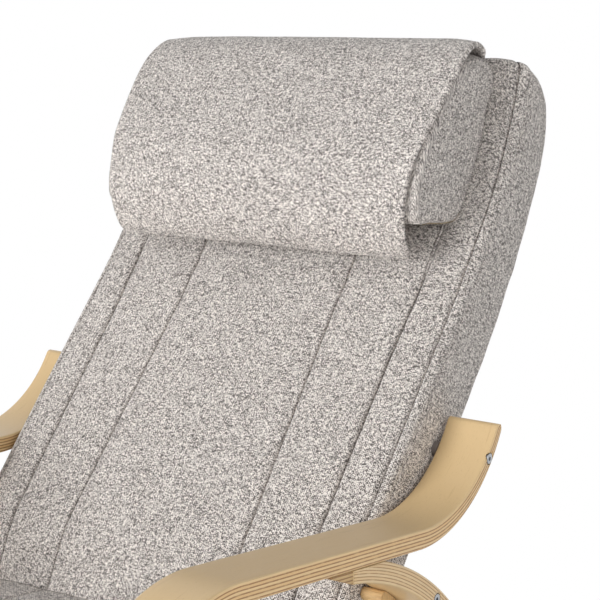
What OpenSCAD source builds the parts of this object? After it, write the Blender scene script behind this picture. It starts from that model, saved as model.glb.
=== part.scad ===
// Rocking chair with a massage mechanism in its back.
// Millimetres. +Z is up, the sitter faces -Y, the floor is Z = 0, and X = 0 is the middle plane.
// Pieces of the back are drawn in the back's own frame: x across, y rearwards, z up along the back.
// Pieces of the seat are drawn in the seat's own frame: x across, y rearwards, z square to the seat.

/* [Side frames] */
// Gap between the sides of the cushions and the bands
side_gap = 7; // [5:1:12]
// Width of a bentwood band
band_w = 60; // [50:1:64]
// Thickness of the arm and front leg band
band_t = 20; // [16:1:24]
// Thickness of the arm band at its rear tip
arm_tip_t = 12.5; // [11:0.5:16]
// Rear tip of the arm, along Y
arm_tip_y = 240; // [230:1:250]
// Rear tip of the arm above the floor
arm_tip_z = 620; // [612:1:630]
// Fall of the straight arm towards the rear, in degrees
arm_slope = 7.5; // [6:0.5:9]
// Direction of the rear tip, in degrees above the horizontal
arm_tip_angle = 58.5; // [50:0.5:64]
// Radius of the top face at the rear bend of the arm
arm_bend_r = 149; // [140:1:158]
// Where the front bend of the arm starts, along Y
arm_front_y = -200; // [-215:1:-185]
// Outer radius of the bend from the arm to the front leg
leg_bend_r = 150; // [130:1:165]
// Rake of the front leg, in degrees
leg_rake = 6; // [3:0.5:9]
// Centre of the rear arc, along Y
arc_cy = -109; // [-115:1:-103]
// Depth of the flat where the rear arc lies against the arm
arc_bed = 9.5; // [8:0.5:11]
// Outer radius of the rear arc
arc_r = 369; // [365:1:372]
// Thickness of the rear arc
arc_t = 21.6; // [18:0.2:26]
// Square front end of the rear arc, along Y
arc_front_y = -34; // [-60:1:-10]

/* [Rockers] */
// Radius of the rocker's underside
rock_r = 1000; // [950:5:1100]
// Thickness of a rocker
runner_t = 24; // [18:1:30]
// Lowest point of the rocker, along Y
rock_y = 78; // [60:1:95]
// Reach of the rocker ahead of its lowest point
runner_front = 564; // [540:1:580]
// Reach of the rocker behind its lowest point
runner_rear = 400; // [370:5:410]
// Length of the non-slip pad
pad_len = 120; // [80:1:125]
// Width of the non-slip pad
pad_w = 40; // [20:1:48]
// Thickness of the non-slip pad
pad_t = 2; // [1.9:0.1:3]

/* [Rails] */
// Thickness of the cross rails
rail_t = 20; // [16:1:24]
// Height of the cross rails
rail_h = 50; // [36:1:56]
// Thickness of the rails inside the seat and the back
side_rail_t = 22; // [18:1:26]
// Height of the rails inside the seat
seat_rail_h = 40; // [34:1:44]
// Depth of the rails inside the back
back_rail_d = 36; // [34:1:38]
// Thread diameter of the frame bolts
bolt_d = 6; // [5:1:7]
// Diameter of a frame bolt's head
bolt_head_d = 11; // [10:0.5:12]
// Height of a frame bolt's head
bolt_head_h = 4; // [3:0.5:5]

/* [Back] */
// Width of the back
back_w = 516; // [500:1:520]
// Lean of the back from the vertical, in degrees
back_lean = 37.5; // [36:0.5:39]
// Foot of the back's front plane, along Y
back_y = -7.1; // [-10:0.1:-4]
// Foot of the back's front plane above the floor
back_z = 380; // [376:1:384]
// Top of the back, along the back
back_top = 760; // [750:1:775]
// Bottom of the back, along the back
back_bottom = -55; // [-60:1:-50]
// Greatest depth of the back
back_t = 103; // [100:1:112]
// Width of the panel between the middle one and the deep outer seam
side_panel_w = 95; // [84:1:104]
// Width of the outer panel, from the deep seam to the corner
outer_panel_w = 43; // [34:1:50]
// Depth of the middle panel's seams
seam_a_depth = 4; // [0:0.5:6]
// Depth of the outer seams
seam_b_depth = 8; // [0:0.5:10]
// How far the top of the back curls forward
head_curl = 44; // [30:1:50]
// Radius of the top corners, seen from the front
top_corner_r = 16; // [12:1:60]
// Thickness of the padded side walls
side_pad_t = 26; // [24:1:30]
// Depth of the padded front
front_pad_t = 30.6; // [28:0.1:30.6]

/* [Seat] */
// Length of the seat from the crease
seat_len = 500; // [480:1:510]
// Thickness of the seat
seat_t = 105; // [98:1:115]
// Rise of the seat towards the front, in degrees
seat_tilt = 8; // [6:0.5:10]
// Height of the seat's crease along the back
crease_s = 40; // [36:1:44]
// Radius of the seat's front roll
seat_roll_r = 46; // [30:1:50]
// Padding over the seat's frame
seat_pad_t = 62.7; // [60:0.1:64]

/* [Head pillow and flap] */
// How far each end of the pillow is in from the back's side
pillow_inset = 42; // [38:1:58]
// Top of the pillow, along the back
pillow_top = 748; // [744:1:750]
// Bottom of the pillow, along the back
pillow_bottom = 512; // [505:1:525]
// How far the pillow stands out from the back's front plane
pillow_out = 101; // [95:1:102]
// Thickness of the quilted flap
flap_t = 6.5; // [5:0.5:7]
// How far the flap's top fold reaches past each end of the pillow
flap_over = 4; // [2:1:8]
// How far the flap's front stands out from the back's front plane
flap_out = 107; // [106.5:0.5:112]
// Bottom edge of the flap, along the back
flap_bottom = 487; // [470:1:490]

/* [Massage mechanism] */
// Middle of the carriage's travel, along the back
carriage_s = 380; // [375:1:385]
// Diameter of the guide rods
rod_d = 10; // [8:1:11]
// Distance between the guide rods
rod_gap = 240; // [230:1:244]
// Diameter of the lead screw
screw_d = 10; // [8:1:12]
// Radius of a kneading disc
disc_r = 48; // [44:1:50]
// Distance between the kneading discs' axes
disc_gap = 110; // [104:1:114]
// Radius of a kneading head
head_r = 15; // [12:1:16]
// Distance of a kneading head from its disc's axis
head_off = 30; // [26:1:32]
// Height of a kneading head
head_h = 20; // [16:1:21]
// Radius of the lift motor
lift_motor_r = 13; // [10:1:14]
// Radius of the kneading motor
knead_motor_r = 14; // [11:1:14]

/* [Seat electrics] */
// Radius of the vibration motor
buzz_r = 15; // [12:1:17]
// Length of the vibration motor
buzz_len = 56; // [40:1:70]
// Length of the control box
box_len = 88; // [70:1:110]
// Width of the control box
box_w = 120; // [100:1:150]
// Radius of the power socket's bore
socket_r = 2.75; // [2:0.05:3.5]
// Depth of the power socket's bore
socket_len = 10; // [8:1:12]

/* [Handset] */
// Length of the handset
handset_len = 140; // [130:1:142]
// Width of the handset
handset_w = 50; // [44:1:52]
// Thickness of the handset
handset_t = 22; // [20:1:24]
// Radius of a button
button_r = 5.5; // [4:0.5:6]
// Travel of a button
button_travel = 1.2; // [0.6:0.1:1.5]
// Depth of the handset's pocket
pocket_h = 75; // [60:1:80]

/* [Hidden] */

// Colours
wood_c = "burlywood";
dark_wood_c = "peru";
cloth_c = "rosybrown";
steel_c = "silver";
plastic_c = "dimgray";

// Smoothness of rounds, overrun of cuts, and clearances
$fn = 48;
wheel_fn = 200;
over = 1;
soft_gap = 0.4;
fit_gap = 0.05;
hole_gap = 0.3;
far = 2000;

// Side frame, worked out
half_w = back_w / 2 + side_gap + band_w;
band_in = half_w - band_w;
tip_a = arm_tip_angle - 90;
bend_a = -90 - arm_slope;
arm_cy = arm_tip_y - arm_bend_r * cos(tip_a);
arm_cz = arm_tip_z - arm_bend_r * sin(tip_a);
bend_y = arm_cy + arm_bend_r * cos(bend_a);
bend_z = arm_cz + arm_bend_r * sin(bend_a);
front_z = bend_z + (bend_y - arm_front_y) * tan(arm_slope);
leg_cy = arm_front_y - leg_bend_r * sin(arm_slope);
leg_cz = front_z - leg_bend_r * cos(arm_slope);
leg_len = leg_cz;
runner_top_r = rock_r - runner_t;
arc_in = arc_r - arc_t;
arm_under = [bend_y, bend_z] - band_t * [sin(arm_slope), cos(arm_slope)];
arc_cz = arm_under[1] - (arc_r - arc_bed - (arm_under[0] - arc_cy) * sin(arm_slope)) / cos(arm_slope);
counterbore_gap = 1;
bolt_r = bolt_d / 2;

// Places of the frame bolts, as angles on the bands
tip_bolt_a = -43.8;
low_bolt_a = -8;
tip_bolt = polar(arm_cy, arm_cz, arm_bend_r + (arm_tip_t + band_t) / 5, tip_bolt_a);
back_rail_m = 37;
arc_bolt_bite = 8.5;
arc_bolt = on_arc(back_rail_m + arc_bolt_bite);
low_bolt = polar(arc_cy, arc_cz, arc_r - arc_t / 2, low_bolt_a);
bolt_bite = 34;
nut_r = 5;
nut_len = 15;

// Blocks at the joints of the bands
arm_block_len = 36;
arm_block_tip = 2;
arm_block_inset = 10;
side_block_t = 14;
side_block_reach = 19;
side_block_from = 50;
side_block_to = 62;

// Back, worked out
back_half = back_w / 2;
corner_side = 10;
corner_half = back_half - corner_side;
seam_b = corner_half - outer_panel_w;
seam_a = seam_b - side_panel_w;
groove_w = 5;
panel_puff = 3;
curl_from = 560;
drop_low = 2;
drop_high = 6;
drop_from = 180;
drop_to = 500;
rear_low = 84;
rear_from = 60;
rear_peak = 500;
rear_fall = 42;
rear_round_r = 40;
front_round_r = 14;
bottom_round_r = 18;
rear_edge_r = 12;
edge_share = 0.4;
cavity_half = back_half - side_pad_t;
cavity_top = 692;
cavity_mouth = -5;
rail_clear = 2;
rail_out = cavity_half - rail_clear;
rail_in = rail_out - side_rail_t;
back_rail_rear = back_rail_m + back_rail_d;
back_rail_low = 20;
cover_t = 4;
cover_inset = 2;
head_clear = 1;
window_half = disc_gap / 2 + disc_r + 5 * head_clear;
window_front = 8;
window_reach = 250;
sleeve_r = 8;

// Seat, worked out
seat_half = back_half;
crease_y = back_y + crease_s * sin(back_lean);
crease_z = back_z + crease_s * cos(back_lean);
rear_slant = tan(back_lean - seat_tilt);
seat_back_gap = 4.2;
seat_edge_r = 16;
seat_drop = 12;
seat_crown = 4;
seat_groove_share = 0.5;
front_rail_y = -351;
seat_front_pad = 26;
seat_rail_front = seat_len - seat_front_pad;
seat_rail_back = 76;
cross_rail_from = [seat_rail_front - side_rail_t, 240, 88];
strap_w = 50;
strap_t = 2;
strap_share = [0.24, 0.38, 0.52, 0.66, 0.84];
elbow_t = 5;
elbow_w = 30;
elbow_seat_reach = 200;
elbow_back_reach = 110;
elbow_drop = 44;

// Pillow and flap, worked out
pillow_half = back_half - pillow_inset;
pillow_round = 12;
flap_half = pillow_half + flap_over;
hinge_m = -58;
hinge_s = pillow_top + soft_gap + flap_t / 2 + soft_gap;
fold_gap = 0.6;
tail_gap = 0.8;
tail_from = 600;
tail_stack = flap_t + 2 * tail_gap + soft_gap;
tail_in = 14;
tail_half = pillow_half - tail_in;
pillow_flat = 10;

// Massage mechanism, worked out
rod_r = rod_d / 2;
rod_x = rod_gap / 2;
screw_r = screw_d / 2;
axis_m = 60;
pan_m = back_rail_rear;
pan_t = 2;
pan_half = 150;
flange_t = 4;
flange_m = 45;
flange_below = 240;
flange_above = 260;
flange_low = carriage_s - flange_below;
flange_high = carriage_s + flange_above;
lug_h = 40;
lug_low = 170;
lug_high = 570;
bearing_r = 11;
bush_r = 8;
bush_len = 20;
carriage_half_h = 60;
carriage_edge = 14;
carriage_half_w = rod_x + carriage_edge;
plate_m = 50;
plate_t = 3;
housing_half = 12;
housing_d = 18;
nut_half = 12;
nut_d = 16;
gear_front = 36;
gear_half_w = 100;
gear_half_h = 38;
hub_r = 6;
hub_len = 12;
disc_t = 6;
disc_clear = 0.5;
disc_back = gear_front - disc_clear;
disc_front = disc_back - disc_t;
knead_below = 68;
knead_s = carriage_s - knead_below;
knead_m = 34;
knead_len = 85;
knead_x = 40;
worm_w = 22;
worm_front = 22;
lift_s = 112;
lift_m = 56;
lift_half = 30;
lift_h = 48;
lift_front = 42;
lift_d = 28;
lift_motor_len = 65;
screw_low = 118.5;
screw_high = 650;
switch_w = 20;
switch_h = 12;
switch_x = 62;
switch_d = 11;
heater_side = 28;
heater_half = rail_in - heater_side;
heater_room = 4;
heater_low = 46;
heater_h = 36;
heater_t = 1.5;

// Seat electrics, worked out
buzz_y = -281;
buzz_z = -86;
buzz_shaft_r = 2.5;
weight_r = 12;
weight_t = 12;
weight_gap = 1;
flange_plate_t = 3;
box_top = -66;
box_h = 31;
box_wall = 2;
box_back = -110;
lid_t = 2;
lid_z = box_top - box_h;
board_t = 1.6;
board_drop = 10;
post_r = 3;
board_inset = 6;
socket_body_r = 6;
socket_flange_r = 8;
socket_x = 30;
socket_body_len = 14;
switch_y = -155;
rocker_x = -32;
rocker_half = 9;
rocker_w = 12;
rocker_pin_up = 4;
rocker_rise = 2;
rocker_fall = 9;
ear_h = 6.5;
ear_half = 3;
rocker_pin_r = 1.5;
rocker_tilt = 8;
rocker_gap = 1.5;
rocker_ear_t = 2;
lead_r = 2.2;
lead_bend = 0.3;
lead_x = 80;
buzz_lead_x = 20;
lead_y = -150;
lead_end_y = -80;
lead_m = 75.4;
lead_s = 60;
lead_step_y = -54;
lead_step_z = 336;

// Handset, worked out
pocket_wall = 2.5;
pocket_x = back_half + soft_gap;
pocket_in_x = pocket_x + pocket_wall;
pocket_room = 28;
pocket_y = -255;
pocket_len = 85;
pocket_z = 347.5;
handset_off = 3;
handset_x = pocket_in_x + handset_off;
handset_y = -245;
handset_z = pocket_z + pocket_wall;
shell_wall = 2.5;
shell_r = 8;
button_proud = 1.5;
button_gap = 0.2;
button_flange = 1.2;
button_flange_t = 2;
button_pitch = 15;
button_top = 16;
button_off = 0.1;
stem_r = 2;
stem_spare = 0.3;
stem_gap = button_travel + stem_spare;
handset_board_t = 1.6;
handset_board_x = 6;

function polar(cy, cz, r, a) = [cy + r * cos(a), cz + r * sin(a)];
function arc_points(cy, cz, r0, r1, a0, a1, n) =
    [for (i = [0:n]) polar(cy, cz, r0 + (r1 - r0) * i / n, a0 + (a1 - a0) * i / n)];
function smooth(t) = let (c = max(0, min(1, t))) c * c * (3 - 2 * c);
function mix(a, b, t) = a + (b - a) * t;
function reversed(v) = [for (i = [len(v) - 1:-1:0]) v[i]];

// Triangles that skin a stack of equal rings and close both ends with fans
function side_faces(rings, n) = concat(
    [for (k = [0:rings - 2], j = [0:n - 1]) [k * n + j, (k + 1) * n + j, (k + 1) * n + (j + 1) % n]],
    [for (k = [0:rings - 2], j = [0:n - 1]) [k * n + j, (k + 1) * n + (j + 1) % n, k * n + (j + 1) % n]]);
function skin_faces(rings, n) = concat(side_faces(rings, n),
    [for (j = [0:n - 1]) [rings * n, j, (j + 1) % n]],
    [for (j = [0:n - 1]) [rings * n + 1, (rings - 1) * n + (j + 1) % n, (rings - 1) * n + j]]);
function middle(ring) = [for (i = [0:2]) (max([for (p = ring) p[i]]) + min([for (p = ring) p[i]])) / 2];
module skin(rings) {
    n = len(rings[0]);
    last = len(rings) - 1;
    points = concat([for (ring = rings) for (p = ring) p], [middle(rings[0]), middle(rings[last])]);
    polyhedron(points, skin_faces(len(rings), n));
}

// The same for a strip, whose ends are closed between its two long sides
module strip_skin(rings) {
    n = len(rings[0]);
    last = (len(rings) - 1) * n;
    ends = [for (i = [0:n / 2 - 2]) each [[i, i + 1, n - 2 - i], [i, n - 2 - i, n - 1 - i]]];
    polyhedron([for (ring = rings) for (p = ring) p], concat(side_faces(len(rings), n), ends,
        [for (f = ends) [last + f[2], last + f[1], last + f[0]]]));
}

// Front of the back at a place across it and along it, and its rear
function head_lean(s) = -head_curl * pow(max(0, s - curl_from) / (back_top - curl_from), 2);
function side_drop(s) = mix(drop_low, drop_high, smooth((s - drop_from) / (drop_to - drop_from)));
function front_m(x, s) = head_lean(s) + side_drop(s) * pow(abs(x) / corner_half, 4.5);
function rear_bow(s) = s < rear_peak
    ? mix(rear_low, back_t, smooth((s - rear_from) / (rear_peak - rear_from)))
    : back_t - rear_fall * pow((s - rear_peak) / (back_top - rear_peak), 2);
function round_in(t, r) = let (c = max(0, min(r, t))) r - sqrt(r * r - c * c);
function rear_m(s) = rear_bow(s) - round_in(s - back_top + rear_round_r, rear_round_r);
function half_at(s) = back_half - round_in(s - back_top + top_corner_r, top_corner_r)
    - round_in(back_bottom + bottom_round_r - s, bottom_round_r);

module along_x(from, to) { translate([from, 0, 0]) rotate([90, 0, 90]) linear_extrude(to - from) children(); }
module rod_x(r, from, to) { translate([from, 0, 0]) rotate([0, 90, 0]) cylinder(r = r, h = to - from); }
module both_sides() {
    children();
    mirror([1, 0, 0]) children();
}
module block(low, high) { translate(low) cube(high - low); }
module back_place() { translate([0, back_y, back_z]) rotate([-back_lean, 0, 0]) children(); }
module seat_place() { translate([0, crease_y, crease_z]) rotate([-seat_tilt, 0, 0]) children(); }
module stick(p, q, r) {
    d = q - p;
    h = norm(d);
    translate(p) rotate([0, acos(d[2] / h), atan2(d[1], d[0])]) cylinder(r = r, h = h);
}

// Bentwood side frames
module arm_outline() {
    under_r = arm_bend_r + band_t;
    foot_y = leg_cy - leg_bend_r * cos(leg_rake) + leg_len * tan(leg_rake);
    foot_z = leg_cz - leg_bend_r * sin(leg_rake) - leg_len;
    across = band_t / cos(leg_rake);
    end_c = polar(arm_cy, arm_cz, arm_bend_r + arm_tip_t / 2, tip_a);
    polygon(concat(
        arc_points(arm_cy, arm_cz, arm_bend_r, arm_bend_r, tip_a, bend_a, 26),
        arc_points(leg_cy, leg_cz, leg_bend_r, leg_bend_r, 90 - arm_slope, 180 + leg_rake, 36),
        [[foot_y, foot_z], [foot_y + across, foot_z]],
        arc_points(leg_cy, leg_cz, leg_bend_r - band_t, leg_bend_r - band_t, 180 + leg_rake,
            90 - arm_slope, 36),
        arc_points(arm_cy, arm_cz, under_r, arm_bend_r + arm_tip_t, bend_a, tip_a, 26),
        arc_points(end_c[0], end_c[1], arm_tip_t / 2, arm_tip_t / 2, tip_a, tip_a + 180, 8)));
}
module above_rocker() { translate([rock_y, rock_r]) circle(r = runner_top_r, $fn = wheel_fn); }
module above_arm_underside() {
    dir = [-cos(arm_slope), sin(arm_slope)];
    up = [sin(arm_slope), cos(arm_slope)];
    foot = [bend_y, bend_z] - band_t * up;
    polygon([foot - far * dir, foot + far * dir, foot + far * dir + far * up, foot - far * dir + far * up]);
}
module bolt_cut(place) {
    translate([0, place[0], place[1]]) {
        rod_x(bolt_r + hole_gap, band_in - over, half_w + over);
        rod_x(bolt_head_d / 2 + counterbore_gap, half_w - bolt_head_h, half_w + over);
    }
}
function leg_bolt() = let (z = front_rail_z()) [leg_middle_y(z), z];
function front_rail_z() = seat_point(front_rail_y, -seat_t - rail_h / 2)[1];
function leg_middle_y(z) = leg_cy - leg_bend_r * cos(leg_rake) + (leg_cz - leg_bend_r * sin(leg_rake) - z)
    * tan(leg_rake) + band_t / cos(leg_rake) / 2;
function seat_point(y, z) = [crease_y + y * cos(seat_tilt) + z * sin(seat_tilt),
    crease_z - y * sin(seat_tilt) + z * cos(seat_tilt)];
// Middle of the rear arc where it passes a depth in the back
function on_arc(m) =
    let (c = cos(back_lean), n = sin(back_lean), y = arc_cy - back_y, z = arc_cz - back_z,
        r = arc_r - arc_t / 2)
    back_point(m, y * n + z * c + sqrt(r * r - pow(m - y * c + z * n, 2)));
function back_point(m, s) = [back_y + m * cos(back_lean) + s * sin(back_lean),
    back_z - m * sin(back_lean) + s * cos(back_lean)];
module arm_band() {
    color(wood_c) difference() {
        along_x(band_in, half_w) intersection() {
            arm_outline();
            above_rocker();
        }
        bolt_cut(tip_bolt);
        bolt_cut(leg_bolt());
        foot_screws(fit_gap);
    }
}
module rear_arc() {
    color(wood_c) difference() {
        along_x(band_in, half_w) intersection() {
            difference() {
                translate([arc_cy, arc_cz]) circle(r = arc_r, $fn = wheel_fn);
                translate([arc_cy, arc_cz]) circle(r = arc_in, $fn = wheel_fn);
                above_arm_underside();
            }
            above_rocker();
            translate([arc_front_y, 0]) square([far, far]);
        }
        bolt_cut(arc_bolt);
        bolt_cut(low_bolt);
        foot_screws(fit_gap);
    }
}
module runner() {
    front_a = -90 - asin(runner_front / rock_r);
    rear_a = -90 + asin(runner_rear / rock_r);
    color(wood_c) difference() {
        along_x(band_in, half_w) {
            intersection() {
                difference() {
                    translate([rock_y, rock_r]) circle(r = rock_r, $fn = wheel_fn);
                    above_rocker();
                }
                polygon([[rock_y, rock_r], polar(rock_y, rock_r, far, front_a),
                    polar(rock_y, rock_r, far, rear_a)]);
                translate([-far / 2, pad_t]) square([far, far]);
            }
            for (a = [front_a, rear_a]) translate(polar(rock_y, rock_r, rock_r - runner_t / 2, a))
                circle(r = runner_t / 2 - fit_gap);
        }
        foot_screws(fit_gap);
    }
}
module arm_blocks() {
    corner = polar(arc_cy, arc_cz, arc_in, acos((arc_front_y - arc_cy) / arc_in));
    tip_y = arc_front_y - arm_block_len;
    tip_z = arm_under[1] + (arm_under[0] - tip_y) * tan(arm_slope) - arm_block_tip;
    color(dark_wood_c) both_sides() along_x(band_in + arm_block_inset, half_w - arm_block_inset)
    difference() {
        polygon([corner, [corner[0], far / 2], [tip_y, far / 2], [tip_y, tip_z]]);
        above_arm_underside();
    }
}
module side_blocks() {
    color(dark_wood_c) both_sides() along_x(back_half + soft_gap, band_in + side_block_reach) intersection() {
        difference() {
            translate([arc_cy, arc_cz]) circle(r = arc_in, $fn = wheel_fn);
            translate([arc_cy, arc_cz]) circle(r = arc_in - side_block_t, $fn = wheel_fn);
        }
        polygon([[arc_cy, arc_cz], polar(arc_cy, arc_cz, far, side_block_from),
            polar(arc_cy, arc_cz, far, side_block_to)]);
    }
}
module cross_rail_bolt_hole(place) {
    translate([0, place[0], place[1]]) both_sides()
        rod_x(bolt_r + hole_gap, band_in - bolt_bite, band_in + over);
}
module cross_nut_hole(place, turn) {
    both_sides() translate([band_in - bolt_bite + nut_r, place[0], place[1]]) rotate([turn, 0, 0])
        translate([0, 0, -nut_len / 2]) cylinder(r = nut_r + hole_gap, h = nut_len + hole_gap);
}
module front_cross_rail() {
    color(wood_c) difference() {
        seat_place() block([-band_in, front_rail_y - rail_t / 2, -seat_t - rail_h],
            [band_in, front_rail_y + rail_t / 2, -seat_t]);
        cross_rail_bolt_hole(leg_bolt());
        cross_nut_hole(leg_bolt(), -seat_tilt);
    }
}
module lower_cross_rail() {
    color(wood_c) difference() {
        translate([0, low_bolt[0], low_bolt[1]]) rotate([low_bolt_a, 0, 0])
            block([-band_in, -rail_t / 2, -rail_h / 2], [band_in, rail_t / 2, rail_h / 2]);
        cross_rail_bolt_hole(low_bolt);
        cross_nut_hole(low_bolt, low_bolt_a);
    }
}
module bolt_x(place, tip) {
    translate([0, place[0], place[1]]) {
        rod_x(bolt_r, tip, half_w - bolt_head_h);
        difference() {
            rod_x(bolt_head_d / 2, half_w - bolt_head_h, half_w);
            translate([half_w - bolt_head_h / 2, 0, 0]) rotate([0, 90, 0])
                cylinder(r = bolt_r * 0.8, h = bolt_head_h, $fn = 6);
        }
    }
}
module frame_bolts() {
    color(steel_c) both_sides() {
        bolt_x(tip_bolt, rail_in + nut_r);
        bolt_x(arc_bolt, rail_in + nut_r);
        bolt_x(leg_bolt(), band_in - bolt_bite);
        bolt_x(low_bolt, band_in - bolt_bite);
    }
}
module barrel_nut(x, place, turn) {
    translate([x, place[0], place[1]]) rotate([turn, 0, 0]) difference() {
        translate([0, 0, -nut_len / 2]) cylinder(r = nut_r, h = nut_len);
        rod_x(bolt_r + fit_gap, -nut_r - over, nut_r + over);
    }
}
module barrel_nuts() {
    color(steel_c) both_sides() {
        barrel_nut(rail_in + 2 * nut_r, tip_bolt, -back_lean);
        barrel_nut(rail_in + 2 * nut_r, arc_bolt, -back_lean);
        barrel_nut(band_in - bolt_bite + nut_r, leg_bolt(), -seat_tilt);
        barrel_nut(band_in - bolt_bite + nut_r, low_bolt, low_bolt_a);
    }
}
module spacer_sleeves() {
    color(steel_c) both_sides() for (place = [tip_bolt, arc_bolt]) translate([0, place[0], place[1]])
    difference() {
        rod_x(sleeve_r, rail_out, band_in);
        rod_x(bolt_r + hole_gap, rail_out - over, band_in + over);
    }
}
module rest_pads() {
    color("black") both_sides() block([band_in + (band_w - pad_w) / 2, rock_y - pad_len / 2, 0],
        [half_w - (band_w - pad_w) / 2, rock_y + pad_len / 2, pad_t]);
}

// Wood screws, drawn head down and point up
screw_head_r = 4;
screw_head_h = 2.5;
screw_shank_r = 2;
screw_len = 34;
function runner_hole(y) = [y, rock_r - sqrt(rock_r * rock_r - (y - rock_y) * (y - rock_y))];
leg_foot_y = leg_middle_y(rock_r - sqrt(pow(runner_top_r, 2) - pow(leg_middle_y(0) - rock_y, 2)));
arc_foot_y = arc_cy + sqrt(pow(arc_r - arc_t / 2, 2) - pow(arc_cz - 2 * runner_t, 2));
module wood_screw(clear) {
    cylinder(r = screw_head_r + clear, h = screw_head_h);
    cylinder(r = screw_shank_r + clear, h = screw_len);
}
module foot_screws(clear) {
    for (y = [leg_foot_y, arc_foot_y], x = [-1, 1] * band_w / 4)
        translate([band_in + band_w / 2 + x, runner_hole(y)[0], runner_hole(y)[1] + screw_head_h / 5])
            wood_screw(clear);
}
module bracket_screws(clear) {
    seat_place() for (y = [-elbow_seat_reach + elbow_w / 2, -elbow_seat_reach * 0.7])
        translate([rail_in - elbow_t - screw_head_h, y, -seat_t + seat_rail_h / 2]) rotate([0, 90, 0])
            bracket_screw(clear);
    back_place() for (s = [elbow_back_reach / 2, elbow_back_reach - elbow_w / 3])
        translate([rail_in - elbow_t - screw_head_h, back_rail_m + back_rail_d / 2, s]) rotate([0, 90, 0])
            bracket_screw(clear);
}
module bracket_screw(clear) {
    cylinder(r = screw_head_r + clear, h = screw_head_h);
    cylinder(r = screw_shank_r + clear, h = screw_head_h + elbow_t + side_rail_t / 2);
}
module frame_screws() {
    color(steel_c) both_sides() {
        foot_screws(0);
        bracket_screws(0);
    }
}

// Seat
module seat_side_rails() {
    color(wood_c) both_sides() difference() {
        seat_place() block([rail_in, -seat_rail_front, -seat_t],
            [rail_out, -seat_rail_back, seat_rail_h - seat_t]);
        bracket_screws(fit_gap);
    }
}
module seat_cross_rails() {
    color(wood_c) seat_place() difference() {
        for (i = [0:2]) let (y = cross_rail_from[i], half = i == 2 ? rail_in - elbow_t : rail_in)
            block([-half, -y - side_rail_t, -seat_t], [half, -y, seat_rail_h - seat_t]);
        translate([buzz_lead_x, -cross_rail_from[1] + over, buzz_z]) rotate([90, 0, 0])
            cylinder(r = lead_r + hole_gap, h = side_rail_t + 2 * over);
        translate([lead_x, -cross_rail_from[2] + over, buzz_z]) rotate([90, 0, 0])
            cylinder(r = lead_r + hole_gap, h = side_rail_t + 2 * over);
    }
}
module seat_webbing() {
    color("black") seat_place() for (share = strap_share)
        block([-rail_out, -share * seat_len - strap_w / 2, seat_rail_h - seat_t],
            [rail_out, -share * seat_len + strap_w / 2, seat_rail_h - seat_t + strap_t]);
}

// Across each row: place, share of its puff, share of the inner groove, share of the outer groove
half_row_share = [[0, 1, 0, 0], [seam_a / 2, 1, 0, 0], [seam_a - groove_w, 0.3, 0, 0], [seam_a, 0, 1, 0],
    [seam_a + groove_w, 0.3, 0, 0], [(seam_a + seam_b) / 2, 1, 0, 0], [seam_b - groove_w, 0.3, 0, 0],
    [seam_b, 0, 0, 1], [seam_b + groove_w, 0.3, 0, 0], [(seam_b + corner_half) / 2, 1, 0, 0],
    [corner_half, 0.4, 0, 0]];
row_share = concat([for (i = [len(half_row_share) - 1:-1:1])
    let (p = half_row_share[i]) [-p[0], p[1], p[2], p[3]]], half_row_share);
function groove(p) = p[2] * seam_a_depth + p[3] * seam_b_depth - p[1] * panel_puff;
function back_ring(s) =
    let (k = half_at(s) / back_half, rear = rear_m(s),
        lift = round_in(s - back_top + front_round_r, front_round_r),
        corner = front_m(corner_half, s) + lift, edge = back_half * k,
        fall = min(corner_side, (rear - corner) * edge_share),
        rise = min(2 * rear_edge_r, (rear - corner) * edge_share),
        side = [[edge - corner_side / 3, corner + fall / 3], [edge - 1.5 * soft_gap, corner + fall],
            [edge, mix(corner + fall, rear - rise, 0.5)], [edge - 1.5 * soft_gap, rear - rise],
            [edge - rise / 4, rear - rise / 4], [edge - 2 * rear_edge_r, rear]])
    concat(
        [for (p = row_share) [p[0] * k, front_m(p[0], s) + lift + groove(p), s]],
        [for (p = side) [p[0], p[1], s]],
        [[0, rear, s]],
        [for (p = reversed(side)) [-p[0], p[1], s]]);
function back_stations() = concat(
    [for (a = [0:45:90]) back_bottom + bottom_round_r * (1 - cos(a))],
    [for (t = [0.1, 0.2, 0.3, 0.4, 0.5, 0.6, 0.7, 0.77, 0.82, 0.87, 0.92, 0.96])
        mix(back_bottom, back_top - top_corner_r, t)],
    [for (a = [0:15:75]) back_top - top_corner_r + top_corner_r * sin(a)],
    [back_top]);
module back_cushion() {
    color(cloth_c) difference() {
        back_place() difference() {
            skin([for (s = back_stations()) back_ring(s)]);
            block([-cavity_half, back_rail_m - soft_gap, cavity_mouth - over],
                [cavity_half, 2 * back_t, cavity_top]);
            block([-heater_half - heater_room, front_pad_t, cavity_mouth - over],
                [heater_half + heater_room, 2 * back_t, cavity_top]);
            block([-cavity_half, -back_t, back_bottom - over], [cavity_half, 2 * back_t, cavity_mouth]);
            block([-window_half, window_front, carriage_s - window_reach],
                [window_half, front_pad_t + over, carriage_s + window_reach]);
        }
        both_sides() for (place = [tip_bolt, arc_bolt]) translate([0, place[0], place[1]])
            rod_x(sleeve_r + hole_gap, cavity_half - over, half_w);
    }
}
module rear_cover() {
    steps = 24;
    low = back_bottom + bottom_round_r;
    stations = [for (i = [0:steps]) mix(low, cavity_top - soft_gap, i / steps)];
    color(cloth_c) back_place() along_x(-cavity_half + soft_gap, cavity_half - soft_gap) polygon(concat(
        [for (s = stations) [rear_bow(s) - cover_inset, s]],
        [for (s = reversed(stations)) [rear_bow(s) - cover_inset - cover_t, s]]));
}
function seat_top(x, y) = seat_crown * (1 - pow(x / seat_half, 2))
    - seat_drop * pow(abs(x) / corner_half, 4.5)
    - round_in(-y - seat_len + seat_roll_r, seat_roll_r);
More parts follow.
